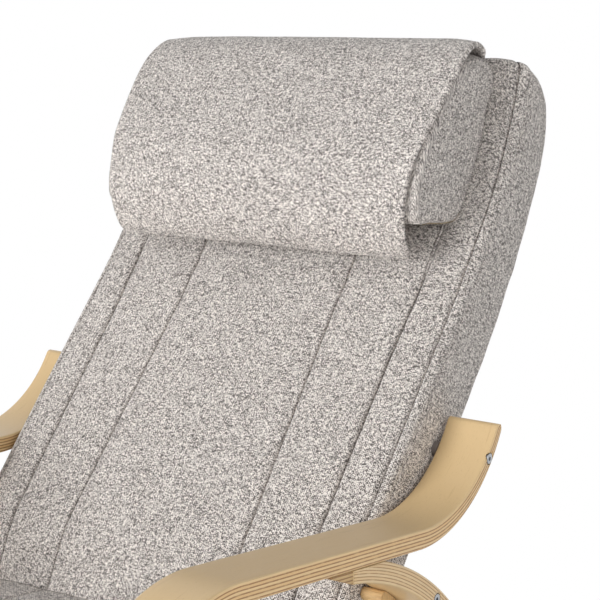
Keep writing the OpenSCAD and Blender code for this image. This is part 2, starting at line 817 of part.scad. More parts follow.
function seat_ring(t) =
    let (y = -t * seat_len, floor_z = -seat_t + round_in(-y - seat_len + seat_roll_r / 2, seat_roll_r / 2),
        edge_z = seat_top(corner_half, y), slant = (1 - t) * rear_slant,
        side = [[seat_half - seat_edge_r / 3, edge_z - seat_edge_r / 3], [seat_half, edge_z - seat_edge_r],
            [seat_half + soft_gap, mix(edge_z, floor_z, 0.5)], [seat_half, floor_z + seat_edge_r],
            [seat_half - seat_edge_r, floor_z]],
        outline = concat([[0, floor_z]], reversed(side),
            [for (p = reversed(row_share)) [p[0], seat_top(p[0], y) - seat_groove_share * groove(p)]],
            [for (p = side) [-p[0], p[1]]]))
    [for (p = outline) [p[0], y + slant * p[1] - seat_back_gap, p[1]]];
module seat_cushion() {
    stations = concat([0, 0.02], [for (t = [0.1:0.1:0.81]) t],
        [for (a = [0:15:90]) 1 - (1 - sin(a)) * seat_roll_r / seat_len]);
    low = -seat_t - over;
    color(cloth_c) seat_place() difference() {
        skin([for (t = stations) seat_ring(t)]);
        block([-cavity_half, -seat_rail_front - soft_gap, low], [cavity_half, seat_t, -seat_pad_t]);
    }
}
module elbow_brackets() {
    seat_end = seat_point(-elbow_seat_reach, -seat_t + (seat_rail_h - elbow_w) / 2);
    seat_dir = seat_point(0, 0) - seat_point(-1, 0);
    seat_up = seat_point(0, 1) - seat_point(0, 0);
    back_m = back_rail_m + (back_rail_d - elbow_w) / 2;
    back_end = back_point(back_m, elbow_back_reach);
    back_dir = back_point(0, 1) - back_point(0, 0);
    back_up = back_point(1, 0) - back_point(0, 0);
    bend = back_point(back_m, -elbow_drop);
    color(steel_c) both_sides() difference() {
        along_x(rail_in - elbow_t, rail_in) polygon([seat_end, bend - elbow_w * seat_up / 2, bend
            + elbow_w * back_up - elbow_w * seat_up / 4, back_end + elbow_w * back_up, back_end,
            bend + elbow_w * back_dir, seat_end + elbow_w * seat_up]);
        bracket_screws(fit_gap);
    }
}
module vibration_motor() {
    rail_face = -cross_rail_from[1] - side_rail_t;
    color(steel_c) seat_place() difference() {
        union() {
            translate([0, buzz_y, buzz_z]) rod_x(buzz_r, -buzz_len / 2, buzz_len / 2);
            block([-buzz_len / 2, rail_face - flange_plate_t, buzz_z - buzz_r],
                [buzz_len / 2, rail_face, buzz_z + buzz_r]);
            block([-buzz_len / 4, buzz_y, buzz_z - buzz_r / 2],
                [buzz_len / 4, rail_face, buzz_z + buzz_r / 2]);
        }
        translate([0, buzz_y, buzz_z]) rod_x(buzz_shaft_r + fit_gap, -buzz_len, buzz_len);
    }
}
module vibration_weight() {
    reach = buzz_len / 2 + weight_gap + weight_t;
    color("dimgray") seat_place() translate([0, buzz_y, buzz_z]) {
        rod_x(buzz_shaft_r, -reach, reach);
        both_sides() along_x(reach - weight_t, reach) intersection() {
            circle(r = weight_r);
            translate([-far / 2, -far + buzz_shaft_r / 2]) square([far, far]);
        }
    }
}
module handset_pocket() {
    out_x = pocket_in_x + pocket_room + pocket_wall;
    color(cloth_c) difference() {
        block([-out_x, pocket_y, pocket_z], [-pocket_x, pocket_y + pocket_len, pocket_z + pocket_h]);
        block([-out_x + pocket_wall, pocket_y + pocket_wall, pocket_z + pocket_wall],
            [-pocket_in_x, pocket_y + pocket_len - pocket_wall, pocket_z + pocket_h + over]);
    }
}

// Back frame
module back_side_rails() {
    color(wood_c) both_sides() difference() {
        back_place() block([rail_in, back_rail_m, 0], [rail_out, back_rail_rear, cavity_top - soft_gap]);
        for (place = [tip_bolt, arc_bolt]) translate([0, place[0], place[1]]) {
            rod_x(bolt_r + hole_gap, rail_in + nut_r, half_w);
            translate([rail_in + 2 * nut_r, 0, 0]) rotate([-back_lean, 0, 0])
                translate([0, 0, -nut_len / 2]) cylinder(r = nut_r + hole_gap, h = nut_len + hole_gap);
        }
        bracket_screws(fit_gap);
    }
}
module back_cross_rails() {
    high = cavity_top - soft_gap - side_rail_t;
    color(wood_c) back_place() {
        block([elbow_t - rail_in, back_rail_m, back_rail_low],
            [rail_in - elbow_t, back_rail_rear, back_rail_low + side_rail_t]);
        block([-rail_in, back_rail_m, high], [rail_in, back_rail_rear, high + side_rail_t]);
    }
}

// Massage mechanism
module mechanism_pan() {
    color(steel_c) back_place() difference() {
        union() {
            block([-pan_half, pan_m, flange_low], [pan_half, pan_m + pan_t, flange_high]);
            for (s = [lug_low, lug_high]) block([-rail_out, pan_m, s], [rail_out, pan_m + pan_t, s + lug_h]);
            for (s = [flange_low, flange_high - flange_t])
                block([-pan_half, flange_m, s], [pan_half, pan_m + pan_t, s + flange_t]);
        }
        translate([0, axis_m, flange_low - over])
            cylinder(r = bearing_r, h = flange_high - flange_low + 2 * over);
        both_sides() translate([rod_x, axis_m, flange_low - over])
            cylinder(r = rod_r, h = flange_high - flange_low + 2 * over);
    }
}
module guide_rods() {
    color(steel_c) back_place() both_sides() translate([rod_x, axis_m, flange_low])
        cylinder(r = rod_r, h = flange_high - flange_low);
}
module screw_bearings() {
    color("gray") back_place() for (s = [flange_low, flange_high - flange_t]) translate([0, axis_m, s])
        difference() {
            cylinder(r = bearing_r, h = flange_t);
            translate([0, 0, -over]) cylinder(r = screw_r + fit_gap, h = flange_t + 2 * over);
        }
}
module lead_screw() {
    color(steel_c) back_place() translate([0, axis_m, screw_low])
        cylinder(r = screw_r, h = screw_high - screw_low);
}
module lift_gearbox() {
    color(plastic_c) back_place() difference() {
        block([-lift_half, lift_front, flange_low - lift_h], [lift_half, lift_front + lift_d, flange_low]);
        translate([0, axis_m, screw_low - fit_gap]) cylinder(r = screw_r + fit_gap, h = lift_h);
    }
}
module lift_motor() {
    color(steel_c) back_place() translate([0, lift_m, lift_s]) {
        rod_x(lift_motor_r, lift_half, lift_half + lift_motor_len);
        rod_x(lift_motor_r / 2, lift_half + lift_motor_len, lift_half + lift_motor_len + flange_t);
    }
}
module limit_switches() {
    color("black") back_place() for (s = [flange_low + flange_t, flange_high - flange_t - switch_h])
        block([switch_x, pan_m - switch_d, s], [switch_x + switch_w, pan_m, s + switch_h]);
}
module heater_pad() {
    color("firebrick") back_place() block([-heater_half, front_pad_t + soft_gap, heater_low],
        [heater_half, front_pad_t + soft_gap + heater_t, heater_low + heater_h]);
}
module carriage_plate() {
    ends = [-carriage_half_h, carriage_half_h - bush_len];
    color(steel_c) back_place() translate([0, 0, carriage_s]) difference() {
        union() {
            block([-carriage_half_w, plate_m, -carriage_half_h],
                [carriage_half_w, plate_m + plate_t, carriage_half_h]);
            both_sides() for (s = ends) block([rod_x - housing_half, plate_m, s],
                [rod_x + housing_half, plate_m + plate_t + housing_d, s + bush_len]);
        }
        both_sides() translate([rod_x, axis_m, -carriage_half_h - over])
            cylinder(r = bush_r, h = 2 * (carriage_half_h + over));
    }
}
module carriage_bushes() {
    color("gold") back_place() both_sides() for (s = [-carriage_half_h, carriage_half_h - bush_len])
        translate([rod_x, axis_m, carriage_s + s]) difference() {
            cylinder(r = bush_r, h = bush_len);
            translate([0, 0, -over]) cylinder(r = rod_r + fit_gap, h = bush_len + 2 * over);
        }
}
module lead_nut() {
    front = plate_m + plate_t;
    color("gold") back_place() difference() {
        block([-nut_half, front, carriage_s - nut_half], [nut_half, front + nut_d, carriage_s + nut_half]);
        translate([0, axis_m, carriage_s - nut_half - over])
            cylinder(r = screw_r + fit_gap, h = 2 * (nut_half + over));
    }
}
module knead_gearbox() {
    leg_top = carriage_s - gear_half_h;
    motor_top = knead_s + knead_motor_r;
    color(plastic_c) back_place() difference() {
        union() {
            block([-gear_half_w, gear_front, leg_top], [gear_half_w, plate_m, carriage_s + gear_half_h]);
            block([knead_x, gear_front + over, motor_top], [knead_x + worm_w, plate_m, leg_top]);
            block([knead_x, worm_front, knead_s - knead_motor_r], [knead_x + worm_w, plate_m, motor_top]);
        }
        both_sides() translate([disc_gap / 2, gear_front - over, carriage_s]) rotate([-90, 0, 0])
            cylinder(r = hub_r + fit_gap, h = hub_len + over);
    }
}
module knead_motor() {
    color(steel_c) back_place() translate([0, knead_m, knead_s])
        rod_x(knead_motor_r, knead_x - knead_len, knead_x);
}
module knead_disc(side) {
    color("whitesmoke") back_place() translate([side * disc_gap / 2, disc_front, carriage_s])
    rotate([-90, 0, 0]) {
        cylinder(r = disc_r, h = disc_t);
        cylinder(r = hub_r, h = disc_t + hub_len - disc_clear);
    }
}
module knead_heads(side) {
    color("white") back_place() translate([side * disc_gap / 2, disc_front, carriage_s]) for (way = [-1, 1])
        translate([0, 0, way * head_off]) rotate([90, 0, 0]) rotate_extrude() intersection() {
            scale([1, head_h / head_r]) circle(r = head_r);
            square([head_r, head_h]);
        }
}

// Pillow and flap
function pillow_rear(x, s) = front_m(x, s) - tail_stack;
function pillow_section(x, end) =
    let (top = pillow_top, low = pillow_bottom, h = top - low, out = -pillow_out + end,
        rear = [for (share = [0.1, 0.25, 0.4, 0.6, 0.75, 0.83]) let (s = top - share * h)
            [min(pillow_rear(x, s) - panel_puff, -pillow_flat) - end / 2, s]])
    concat([[out * 0.66, low + end / 2], [out * 0.5, low + 0.06 * h + end / 2],
            [out * 0.22, low + 0.13 * h + end / 2]],
        reversed(rear),
        [[min(hinge_m * 0.7, pillow_rear(x, top) - panel_puff), top - 0.04 * h - end / 2],
            [out * 0.52, top - end / 2], [out * 0.68, top - 0.05 * h - end / 2], [out * 0.83, top - 0.13 * h],
            [out * 0.94, top - 0.25 * h], [out, top - 0.42 * h], [out, top - 0.62 * h],
            [out * 0.97, top - 0.78 * h], [out * 0.83, top - 0.93 * h]]);
module head_pillow() {
    stations = [for (a = [0:30:90])
        [pillow_half - pillow_round * (1 - cos(a)), pillow_round * (1 - sin(a)) / 2]];
    half = concat(stations, [for (t = [0.87:-0.097:0.09]) [pillow_half * t, 0]]);
    rows = concat([for (p = half) [-p[0], p[1]]], [[0, 0]], reversed(half));
    color(cloth_c) back_place()
        skin([for (r = rows) [for (p = pillow_section(r[0], r[1])) [r[0], p[0], p[1]]]]);
}
// Outline of a strip of even thickness along a path
function along(path, i) = path[min(i + 1, len(path) - 1)] - path[max(i - 1, 0)];
function beside(path, i, d) = let (a = along(path, i), n = norm(a)) path[i] + d * [a[1], -a[0]] / n;
function strip(path, t) = concat([for (i = [0:len(path) - 1]) beside(path, i, t / 2)],
    [for (i = [len(path) - 1:-1:0]) beside(path, i, -t / 2)]);
tail_out = panel_puff + tail_gap + flap_t / 2;
function tail_path(x) = concat(
    [for (share = [0, 0.2, 0.4, 0.6, 0.75, 0.85]) let (s = mix(tail_from, back_top, share))
        [front_m(x, s) - tail_out, s]],
    [[front_m(x, pillow_top) - tail_out, pillow_top]],
    [[mix(front_m(0, pillow_top) - tail_out, hinge_m, 0.45), hinge_s], [hinge_m + fold_gap / 2, hinge_s]]);
module flap_tail() {
    color(cloth_c) back_place() strip_skin([for (t = [-1:0.1:1.01]) let (x = t * tail_half)
        [for (p = strip(tail_path(x), flap_t)) [x, p[0], p[1]]]]);
}

// Flap's middle line: share of its outward reach, share of its drop, share of its half width
flap_share = [[0.62, 0.004, 0.99], [0.745, 0.03, 0.995], [0.86, 0.087, 1], [0.944, 0.174, 1.006],
    [0.982, 0.272, 1.009], [1, 0.423, 0.995], [1, 0.574, 0.975], [0.991, 0.668, 0.96], [0.935, 0.755, 0.945],
    [0.85, 0.838, 0.938], [0.729, 0.906, 0.932], [0.58, 0.958, 0.927], [0.43, 0.989, 0.924], [0.3, 1, 0.923]];
module flap_front() {
    path = concat([[hinge_m - fold_gap / 2, hinge_s]],
        [for (p = flap_share) [-flap_out * p[0], mix(hinge_s, flap_bottom, p[1])]]);
    wide = concat([flap_share[0][2]], [for (p = flap_share) p[2]]);
    shape = strip(path, flap_t);
    n = len(path);
    color(cloth_c) back_place() strip_skin([for (t = [-1:0.1:1.01]) [for (i = [0:2 * n - 1])
        let (w = wide[i < n ? i : 2 * n - 1 - i]) [t * flap_half * w, shape[i][0], shape[i][1]]]]);
}

// Control box under the seat, in the seat's frame
module control_box() {
    half = box_w / 2;
    color(plastic_c) seat_place() {
        difference() {
            block([-half, box_back - box_len, lid_z], [half, box_back, box_top]);
            block([box_wall - half, box_back - box_len + box_wall, lid_z - over],
                [half - box_wall, box_back - box_wall, box_top - box_wall]);
        }
        for (x = [-1, 1] * (half - 2 * board_inset), y = [box_back - 2 * board_inset, box_back - box_len
            + 2 * board_inset]) translate([x, y, box_top - box_wall - board_drop])
            cylinder(r = post_r, h = board_drop);
    }
}
module control_board() {
    half = box_w / 2 - board_inset;
    top = box_top - box_wall - board_drop;
    color("green") seat_place() block([-half, box_back - box_len + board_inset, top - board_t],
        [half, box_back - board_inset, top]);
}
module control_lid() {
    half = box_w / 2;
    room = rocker_half + rocker_gap;
    ear_x = rocker_w / 2 + rocker_gap;
    color(plastic_c) seat_place() difference() {
        union() {
            block([-half, box_back - box_len, lid_z - lid_t], [half, box_back, lid_z]);
            for (x = [-ear_x - rocker_ear_t, ear_x]) block([rocker_x + x, switch_y - ear_half, lid_z],
                [rocker_x + x + rocker_ear_t, switch_y + ear_half, lid_z + ear_h]);
        }
        block([rocker_x - ear_x, switch_y - room, lid_z - lid_t - over],
            [rocker_x + ear_x, switch_y + room, lid_z + over]);
        translate([0, switch_y, lid_z + rocker_pin_up])
            rod_x(rocker_pin_r + fit_gap, rocker_x - 2 * ear_x, rocker_x + 2 * ear_x);
        translate([socket_x, switch_y, lid_z - lid_t - over])
            cylinder(r = socket_body_r, h = lid_t + 2 * over);
    }
}
module power_inlet() {
    base = lid_z - lid_t;
    color("black") seat_place() translate([socket_x, switch_y, base]) difference() {
        union() {
            cylinder(r = socket_body_r, h = socket_body_len);
            translate([0, 0, -lid_t / 2]) cylinder(r = socket_flange_r, h = lid_t / 2);
        }
        translate([0, 0, -lid_t / 2 - over]) cylinder(r = socket_r, h = socket_len + over);
    }
}
module power_switch() {
    pin = rocker_w / 2 + rocker_gap + rocker_ear_t;
    color("red") seat_place() translate([rocker_x, switch_y, lid_z + rocker_pin_up])
    rotate([-rocker_tilt, 0, 0]) {
        rod_x(rocker_pin_r, -pin, pin);
        block([-rocker_w / 2, -rocker_half, -rocker_fall], [rocker_w / 2, rocker_half, rocker_rise]);
    }
}
module lead_run(points) {
    for (i = [0:len(points) - 2]) stick(points[i], points[i + 1], lead_r);
    for (i = [1:len(points) - 2]) translate(points[i]) sphere(r = lead_r + lead_bend);
}
function seat_at(x, y, z) = concat([x], seat_point(y, z));
function back_at(x, m, s) = concat([x], back_point(m, s));
module wiring_leads() {
    color("black") {
        lead_run([seat_at(box_w / 2, lead_y, buzz_z), seat_at(lead_x, lead_y, buzz_z),
            seat_at(lead_x, lead_end_y, buzz_z), [lead_x, lead_step_y, lead_step_z],
            back_at(lead_x, lead_m, 0),
            back_at(lead_x, lead_m, lead_s), back_at(lead_x, lift_m, lift_s - lift_motor_r - lead_bend)]);
        stick(seat_at(buzz_lead_x, box_back - box_len, buzz_z),
            seat_at(buzz_lead_x, -cross_rail_from[1] - side_rail_t, buzz_z), lead_r);
    }
}

// Handset
module handset_face(inset) {
    r = shell_r - inset;
    y0 = handset_y + inset;
    z0 = handset_z + inset;
    w = handset_w - 2 * inset;
    h = handset_len - 2 * inset;
    translate([y0 + r, z0]) square([w - 2 * r, h]);
    translate([y0, z0 + r]) square([w, h - 2 * r]);
    for (y = [y0 + r, y0 + w - r], z = [z0 + r, z0 + h - r]) translate([y, z]) circle(r = r);
}
function button_z(i) = handset_z + handset_len - button_top - i * button_pitch;
module handset_back() {
    color(plastic_c) difference() {
        along_x(-handset_x - handset_t / 2, -handset_x) handset_face(0);
        along_x(-handset_x - handset_t, -handset_x - shell_wall) handset_face(shell_wall);
    }
}
module handset_front() {
    color("gray") difference() {
        along_x(-handset_x - handset_t, -handset_x - handset_t / 2) handset_face(0);
        along_x(-handset_x - handset_t + shell_wall, -handset_x) handset_face(shell_wall);
        for (i = [0:3]) translate([0, handset_y + handset_w / 2, button_z(i)])
            rod_x(button_r + button_gap, -handset_x - handset_t - over, -handset_x - handset_t / 2);
    }
}
module handset_board() {
    color("green") along_x(-handset_x - handset_board_x - handset_board_t, -handset_x - handset_board_x)
        handset_face(shell_wall);
}
module button(i) {
    face = -handset_x - handset_t;
    flange = face + shell_wall + button_off;
    translate([0, handset_y + handset_w / 2, button_z(i)]) {
        rod_x(button_r, face - button_proud, flange + button_flange_t);
        rod_x(button_r + button_flange, flange, flange + button_flange_t);
        rod_x(stem_r, flange, -handset_x - handset_board_x - handset_board_t - stem_gap);
    }
}
module button_power() { color("red") button(0); }
module button_massage() { color("white") button(1); }
module button_zone() { color("white") button(2); }
module button_heat() { color("orange") button(3); }

// Left and right copies
module arm_band_left() { arm_band(); }
module arm_band_right() { mirror([1, 0, 0]) arm_band(); }
module rear_arc_left() { rear_arc(); }
module rear_arc_right() { mirror([1, 0, 0]) rear_arc(); }
module runner_left() { runner(); }
module runner_right() { mirror([1, 0, 0]) runner(); }
module knead_disc_left() { knead_disc(1); }
module knead_disc_right() { knead_disc(-1); }
module knead_heads_left() { knead_heads(1); }
module knead_heads_right() { knead_heads(-1); }

arm_band_left();
arm_band_right();
rear_arc_left();
rear_arc_right();
runner_left();
runner_right();
arm_blocks();
side_blocks();
front_cross_rail();
lower_cross_rail();
frame_bolts();
barrel_nuts();
frame_screws();
rest_pads();
spacer_sleeves();
seat_side_rails();
seat_cross_rails();
seat_webbing();
seat_cushion();
elbow_brackets();
vibration_motor();
vibration_weight();
handset_pocket();
back_side_rails();
back_cross_rails();
back_cushion();
rear_cover();
mechanism_pan();
guide_rods();
screw_bearings();
lift_motor();
lift_gearbox();
limit_switches();
control_box();
control_lid();
control_board();
power_inlet();
power_switch();
wiring_leads();
heater_pad();
lead_screw();
carriage_plate();
carriage_bushes();
lead_nut();
knead_motor();
knead_gearbox();
knead_disc_left();
knead_disc_right();
knead_heads_left();
knead_heads_right();
head_pillow();
flap_tail();
flap_front();
handset_back();
handset_front();
handset_board();
button_power();
button_massage();
button_zone();
button_heat();
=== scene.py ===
import math

import bmesh
import bpy
import numpy as np
from mathutils import Matrix, Vector

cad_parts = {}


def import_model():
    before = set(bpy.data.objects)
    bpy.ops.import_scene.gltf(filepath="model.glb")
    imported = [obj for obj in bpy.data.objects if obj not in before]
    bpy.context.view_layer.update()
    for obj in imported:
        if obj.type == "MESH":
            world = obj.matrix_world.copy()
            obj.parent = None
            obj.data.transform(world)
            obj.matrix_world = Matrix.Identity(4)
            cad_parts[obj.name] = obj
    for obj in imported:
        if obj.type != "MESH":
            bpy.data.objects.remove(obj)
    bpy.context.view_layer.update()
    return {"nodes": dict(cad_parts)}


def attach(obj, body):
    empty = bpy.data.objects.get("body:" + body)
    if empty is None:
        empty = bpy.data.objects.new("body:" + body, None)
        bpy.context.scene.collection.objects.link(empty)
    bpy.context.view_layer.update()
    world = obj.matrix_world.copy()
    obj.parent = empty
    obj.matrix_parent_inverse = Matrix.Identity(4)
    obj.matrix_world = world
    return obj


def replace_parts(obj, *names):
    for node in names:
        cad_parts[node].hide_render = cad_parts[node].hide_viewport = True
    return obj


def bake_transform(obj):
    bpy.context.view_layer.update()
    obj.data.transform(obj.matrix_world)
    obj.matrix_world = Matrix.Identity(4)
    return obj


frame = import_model()
cad = frame["nodes"]
MM = 0.001

# Sizes in millimetres, most of them as in the solid model, and values used in many places
HALF_W = 325.0
BAND_IN = 265.0
BACK_LEAN = math.radians(37.5)
BACK_Y, BACK_Z = -7.1, 380.0
BACK_BOTTOM, FRAME_HALF = -55.0, 232.0
SEAT_TILT = math.radians(8.0)
CREASE_Y = BACK_Y + 40 * math.sin(BACK_LEAN)
CREASE_Z = BACK_Z + 40 * math.cos(BACK_LEAN)
CORNER = 248.0
ARM_CY, ARM_CZ, ARM_R = 112.956, 697.852, 149.0
ARC_CY, ARC_CZ, ARC_R, ARC_T = -109.0, 194.013, 369.0, 21.6
ROCK_Y, ROCK_R, RUNNER_T = 78.0, 1000.0, 24.0
HINGE_M, HINGE_S = -58.0, 749.0
PILLOW_HALF, QUILT = 220.0, 73.0
ARM_SLOPE = math.radians(7.5)
ARM_THICK, TIP_THICK, BAND_ROUND = 20.0, 12.5, 2.2
EDGE, FRONT_R = 258.0, 46.0  # half width of both cushions, and the roll of the seat's front
SEAT_LEN, SEAT_DEPTH, SEAT_SEAMS = 500.0, 105.0, 131.0
LINING_HALF, LINING_LOW, LINING_TOP = 235.0, -36.0, 696.0
BACK_SEED, SEAT_SEED = 11, 31
HANDS = (("left", 1), ("right", -1))
WHITE = (1, 1, 1, 1)


# Numbers
def smooth(t):
    t = np.clip(t, 0, 1)
    return t * t * (3 - 2 * t)


def mix(a, b, t):
    return a + (b - a) * t


def round_in(t, r):
    return r - np.sqrt(np.maximum(r * r - np.clip(t, 0, r) ** 2, 0))


def soft_noise(u, v, cell, seed):
    """Smooth hills and hollows from -1 to 1, one about every cell."""
    table = np.random.RandomState(seed).uniform(-1, 1, (61, 67))
    u, v = np.broadcast_arrays(np.asarray(u, float) / cell + 900, np.asarray(v, float) / cell + 900)
    iu, iv = np.floor(u).astype(int), np.floor(v).astype(int)
    fu, fv = u - iu, v - iv
    fu, fv = (f * f * f * (f * (f * 6 - 15) + 10) for f in (fu, fv))
    at = lambda a, b: table[a % 61, b % 67]
    low = at(iu, iv) * (1 - fu) + at(iu + 1, iv) * fu
    high = at(iu, iv + 1) * (1 - fu) + at(iu + 1, iv + 1) * fu
    return low * (1 - fv) + high * fv


def lengths(path):
    return np.concatenate([[0], np.cumsum(np.linalg.norm(np.diff(path, axis=0), axis=1))])


def resample(path, places):
    d = lengths(path)
    return np.stack([np.interp(places, d, path[:, i]) for i in range(path.shape[1])], -1)


def looped(ring):
    return np.concatenate([ring, ring[:1]])


def spline(points, steps, closed=False):
    """A smooth line through the points, steps pieces between each two."""
    p = np.asarray(points, float)
    n = len(p)
    if closed:
        q = np.concatenate([p[-1:], p, p[:2]])
        spans = n
    else:
        q = np.concatenate([2 * p[:1] - p[1:2], p, 2 * p[-1:] - p[-2:-1]])
        spans = n - 1
    out = []
    for i in range(spans):
        a, b, c, d = q[i], q[i + 1], q[i + 2], q[i + 3]
        ab, bc, cd = (max(np.linalg.norm(y - x), 1e-6) ** 0.5 for x, y in ((a, b), (b, c), (c, d)))
        m1 = (c - b) + bc * ((b - a) / ab - (c - a) / (ab + bc))
        m2 = (c - b) + bc * ((d - c) / cd - (d - b) / (bc + cd))
        for t in np.arange(steps) / steps:
            out.append((2 * t**3 - 3 * t**2 + 1) * b + (t**3 - 2 * t**2 + t) * m1
                       + (-2 * t**3 + 3 * t**2) * c + (t**3 - t**2) * m2)
    if not closed:
        out.append(p[-1])
    return np.array(out)


# Places of the back and of the seat, in the shared frame
def back_at(x, m, s):
    x, m, s = np.broadcast_arrays(*(np.asarray(v, float) for v in (x, m, s)))
    c, n = math.cos(BACK_LEAN), math.sin(BACK_LEAN)
    return np.stack([x, BACK_Y + m * c + s * n, BACK_Z - m * n + s * c], -1)


FORWARD = back_at(0, -1, 0) - back_at(0, 0, 0)


def seat_at(x, y, z):
    x, y, z = np.broadcast_arrays(*(np.asarray(v, float) for v in (x, y, z)))
    c, n = math.cos(SEAT_TILT), math.sin(SEAT_TILT)
    return np.stack([x, CREASE_Y + y * c + z * n, CREASE_Z - y * n + z * c], -1)


# Meshes
def placed(name, data):
    obj = bpy.data.objects.new(name, data)
    bpy.context.scene.collection.objects.link(obj)
    return obj


def finish_mesh(name, verts, faces, mats, uv=None, face_mats=None, soft=True):
    mesh = bpy.data.meshes.new(name)
    mesh.from_pydata((np.asarray(verts, float) * MM).tolist(), [], faces)
    for mat in mats:
        mesh.materials.append(mat)
    if face_mats is not None:
        mesh.polygons.foreach_set("material_index", np.asarray(face_mats, np.int32))
    if uv is not None:
        layer = mesh.uv_layers.new(name="UVMap")
        layer.data.foreach_set("uv", np.asarray(uv, np.float32).ravel())
    mesh.polygons.foreach_set("use_smooth", np.full(len(mesh.polygons), soft))
    mesh.update()
    return placed(name, mesh)


def grid(name, p, uv, mats, col_mats=None, flip=False):
    """A skin over rows of points. Each row is a closed ring, and both ends are closed."""
    p, uv = np.asarray(p, float), np.asarray(uv, float)
    rows, cols = p.shape[:2]
    faces, loops, picks = [], [], []
    for r in range(rows - 1):
        for c in range(cols):
            d = (c + 1) % cols
            quad = [(r, c, c), (r, d, c + 1), (r + 1, d, c + 1), (r + 1, c, c)]
            if flip:
                quad.reverse()
            faces.append([a * cols + b for a, b, _ in quad])
            loops.extend(uv[a, b] for a, _, b in quad)
            picks.append(0 if col_mats is None else col_mats[c])
    for r, forward in ((0, False), (rows - 1, True)):
        order = list(range(cols)) if forward != flip else list(range(cols - 1, -1, -1))
        faces.append([r * cols + c for c in order])
        loops.extend(uv[r, c] for c in order)
        picks.append(0)
    return finish_mesh(name, p.reshape(-1, 3), faces, mats, np.array(loops), picks)


def tube(name, path, radius, mat, sides):
    """A round cord along a path in millimetres, closed at both ends."""
    t = np.concatenate([path[1:], path[-1:]]) - np.concatenate([path[:1], path[:-1]])
    t /= np.linalg.norm(t, axis=1)[:, None]
    side = np.cross(t[0], [0.31, 0.17, 0.93])
    ring = (np.arange(sides) * 2 * math.pi / sides)[:, None]
    rows = []
    for centre, ahead in zip(path, t):
        side = side - ahead * (side @ ahead)
        side = side / np.linalg.norm(side)
        rows.append(centre + radius * (np.cos(ring) * side + np.sin(ring) * np.cross(ahead, side)))
    uv = np.broadcast_arrays(np.linspace(0, 1, sides + 1) * 2 * math.pi * radius * MM,
                             lengths(path)[:, None] * MM)
    return grid(name, rows, np.stack(uv, -1), [mat])


def stitches(name, path, normal, mat, pitch, length, radius):
    """Short raised threads along a path, lying on the cloth whose outward direction is normal."""
    sides = 6
    normal = np.broadcast_to(normal, path.shape)
    total = lengths(path)[-1]
    verts, faces = [], []
    shape = [(-0.5, 0.35, -0.5), (-0.3, 1, 0.1), (0, 1.05, 0.35), (0.3, 1, 0.1), (0.5, 0.35, -0.5)]
    for at in np.arange(pitch / 2, total, pitch):
        a, mid, b = resample(path, [max(at - 1, 0), at, min(at + 1, total)])
        up = resample(np.concatenate([path, normal], 1), [at])[0, 3:]
        t = (b - a) / max(np.linalg.norm(b - a), 1e-9)
        up = up - t * (up @ t)
        up /= np.linalg.norm(up)
        side = np.cross(t, up)
        base = len(verts)
        for run, wide, high in shape:
            for k in range(sides):
                w = 2 * math.pi * k / sides
                verts.append(mid + t * run * length + up * radius * high
                             + radius * wide * (math.cos(w) * side + math.sin(w) * up))
        for r in range(len(shape) - 1):
            for k in range(sides):
                j = (k + 1) % sides
                faces.append([base + r * sides + n for n in (k, j, sides + j, sides + k)])
        faces.append([base + k for k in range(sides - 1, -1, -1)])
        faces.append([base + (len(shape) - 1) * sides + k for k in range(sides)])
    return finish_mesh(name, verts, faces, [mat])


def soften(obj, width):
    """Rounds a solid's edges by a width in millimetres."""
    mod = obj.modifiers.new("soft_edges", "BEVEL")
    mod.width, mod.segments = width * MM, 2
    mod.limit_method, mod.angle_limit = "ANGLE", math.radians(40)


def cutter_of(bm):
    mesh = bpy.data.meshes.new("cutter")
    bm.to_mesh(mesh)
    bm.free()
    return placed("cutter", mesh)


def box_cutter(low, high, place):
    bm = bmesh.new()
    verts = [bm.verts.new((place(x, y, z) * MM).tolist()) for x in (low[0], high[0])
             for y in (low[1], high[1]) for z in (low[2], high[2])]
    for f in ((0, 1, 3, 2), (4, 6, 7, 5), (0, 4, 5, 1), (2, 3, 7, 6), (0, 2, 6, 4), (1, 5, 7, 3)):
        bm.faces.new([verts[i] for i in f])
    bmesh.ops.recalc_face_normals(bm, faces=bm.faces)
    return cutter_of(bm)


def head_cutters(sign, places):
    """Rods that sink the heads of the bolts at these places into a side frame's outer face."""
    radius, depth, out = 6.5 * MM, 10.0 * MM, HALF_W - 1
    rods = []
    for y, z in places:
        bm = bmesh.new()
        bmesh.ops.create_cone(bm, cap_ends=True, segments=28, radius1=radius, radius2=radius, depth=depth)
        turn = Vector((0, 0, 1)).rotation_difference(Vector((1, 0, 0))).to_matrix().to_4x4()
        bm.transform(Matrix.Translation(Vector((sign * out, y, z)) * MM) @ turn)
        rods.append(cutter_of(bm))
    return rods


def cut(obj, cutters):
    for c in cutters:
        mod = obj.modifiers.new("cut", "BOOLEAN")
        mod.operation, mod.solver, mod.object = "DIFFERENCE", "EXACT", c
    bpy.context.view_layer.update()
    graph = bpy.context.evaluated_depsgraph_get()
    done = bpy.data.meshes.new_from_object(obj.evaluated_get(graph), depsgraph=graph)
    obj.modifiers.clear()
    old = obj.data
    obj.data = done
    bpy.data.meshes.remove(old)
    for c in cutters:
        bpy.data.objects.remove(c)


# Materials
def colour(r, g, b):
    """An sRGB colour, 0 to 255, as the linear one that the nodes take."""
    line = lambda v: v / 12.92 if v <= 0.04045 else ((v + 0.055) / 1.055) ** 2.4
    return tuple(line(v / 255) for v in (r, g, b)) + (1.0,)


def shade(tone, share=1, top=255):
    """An sRGB colour made darker or lighter, as the linear one that the nodes take."""
    return colour(*(min(c * share, top) for c in tone))


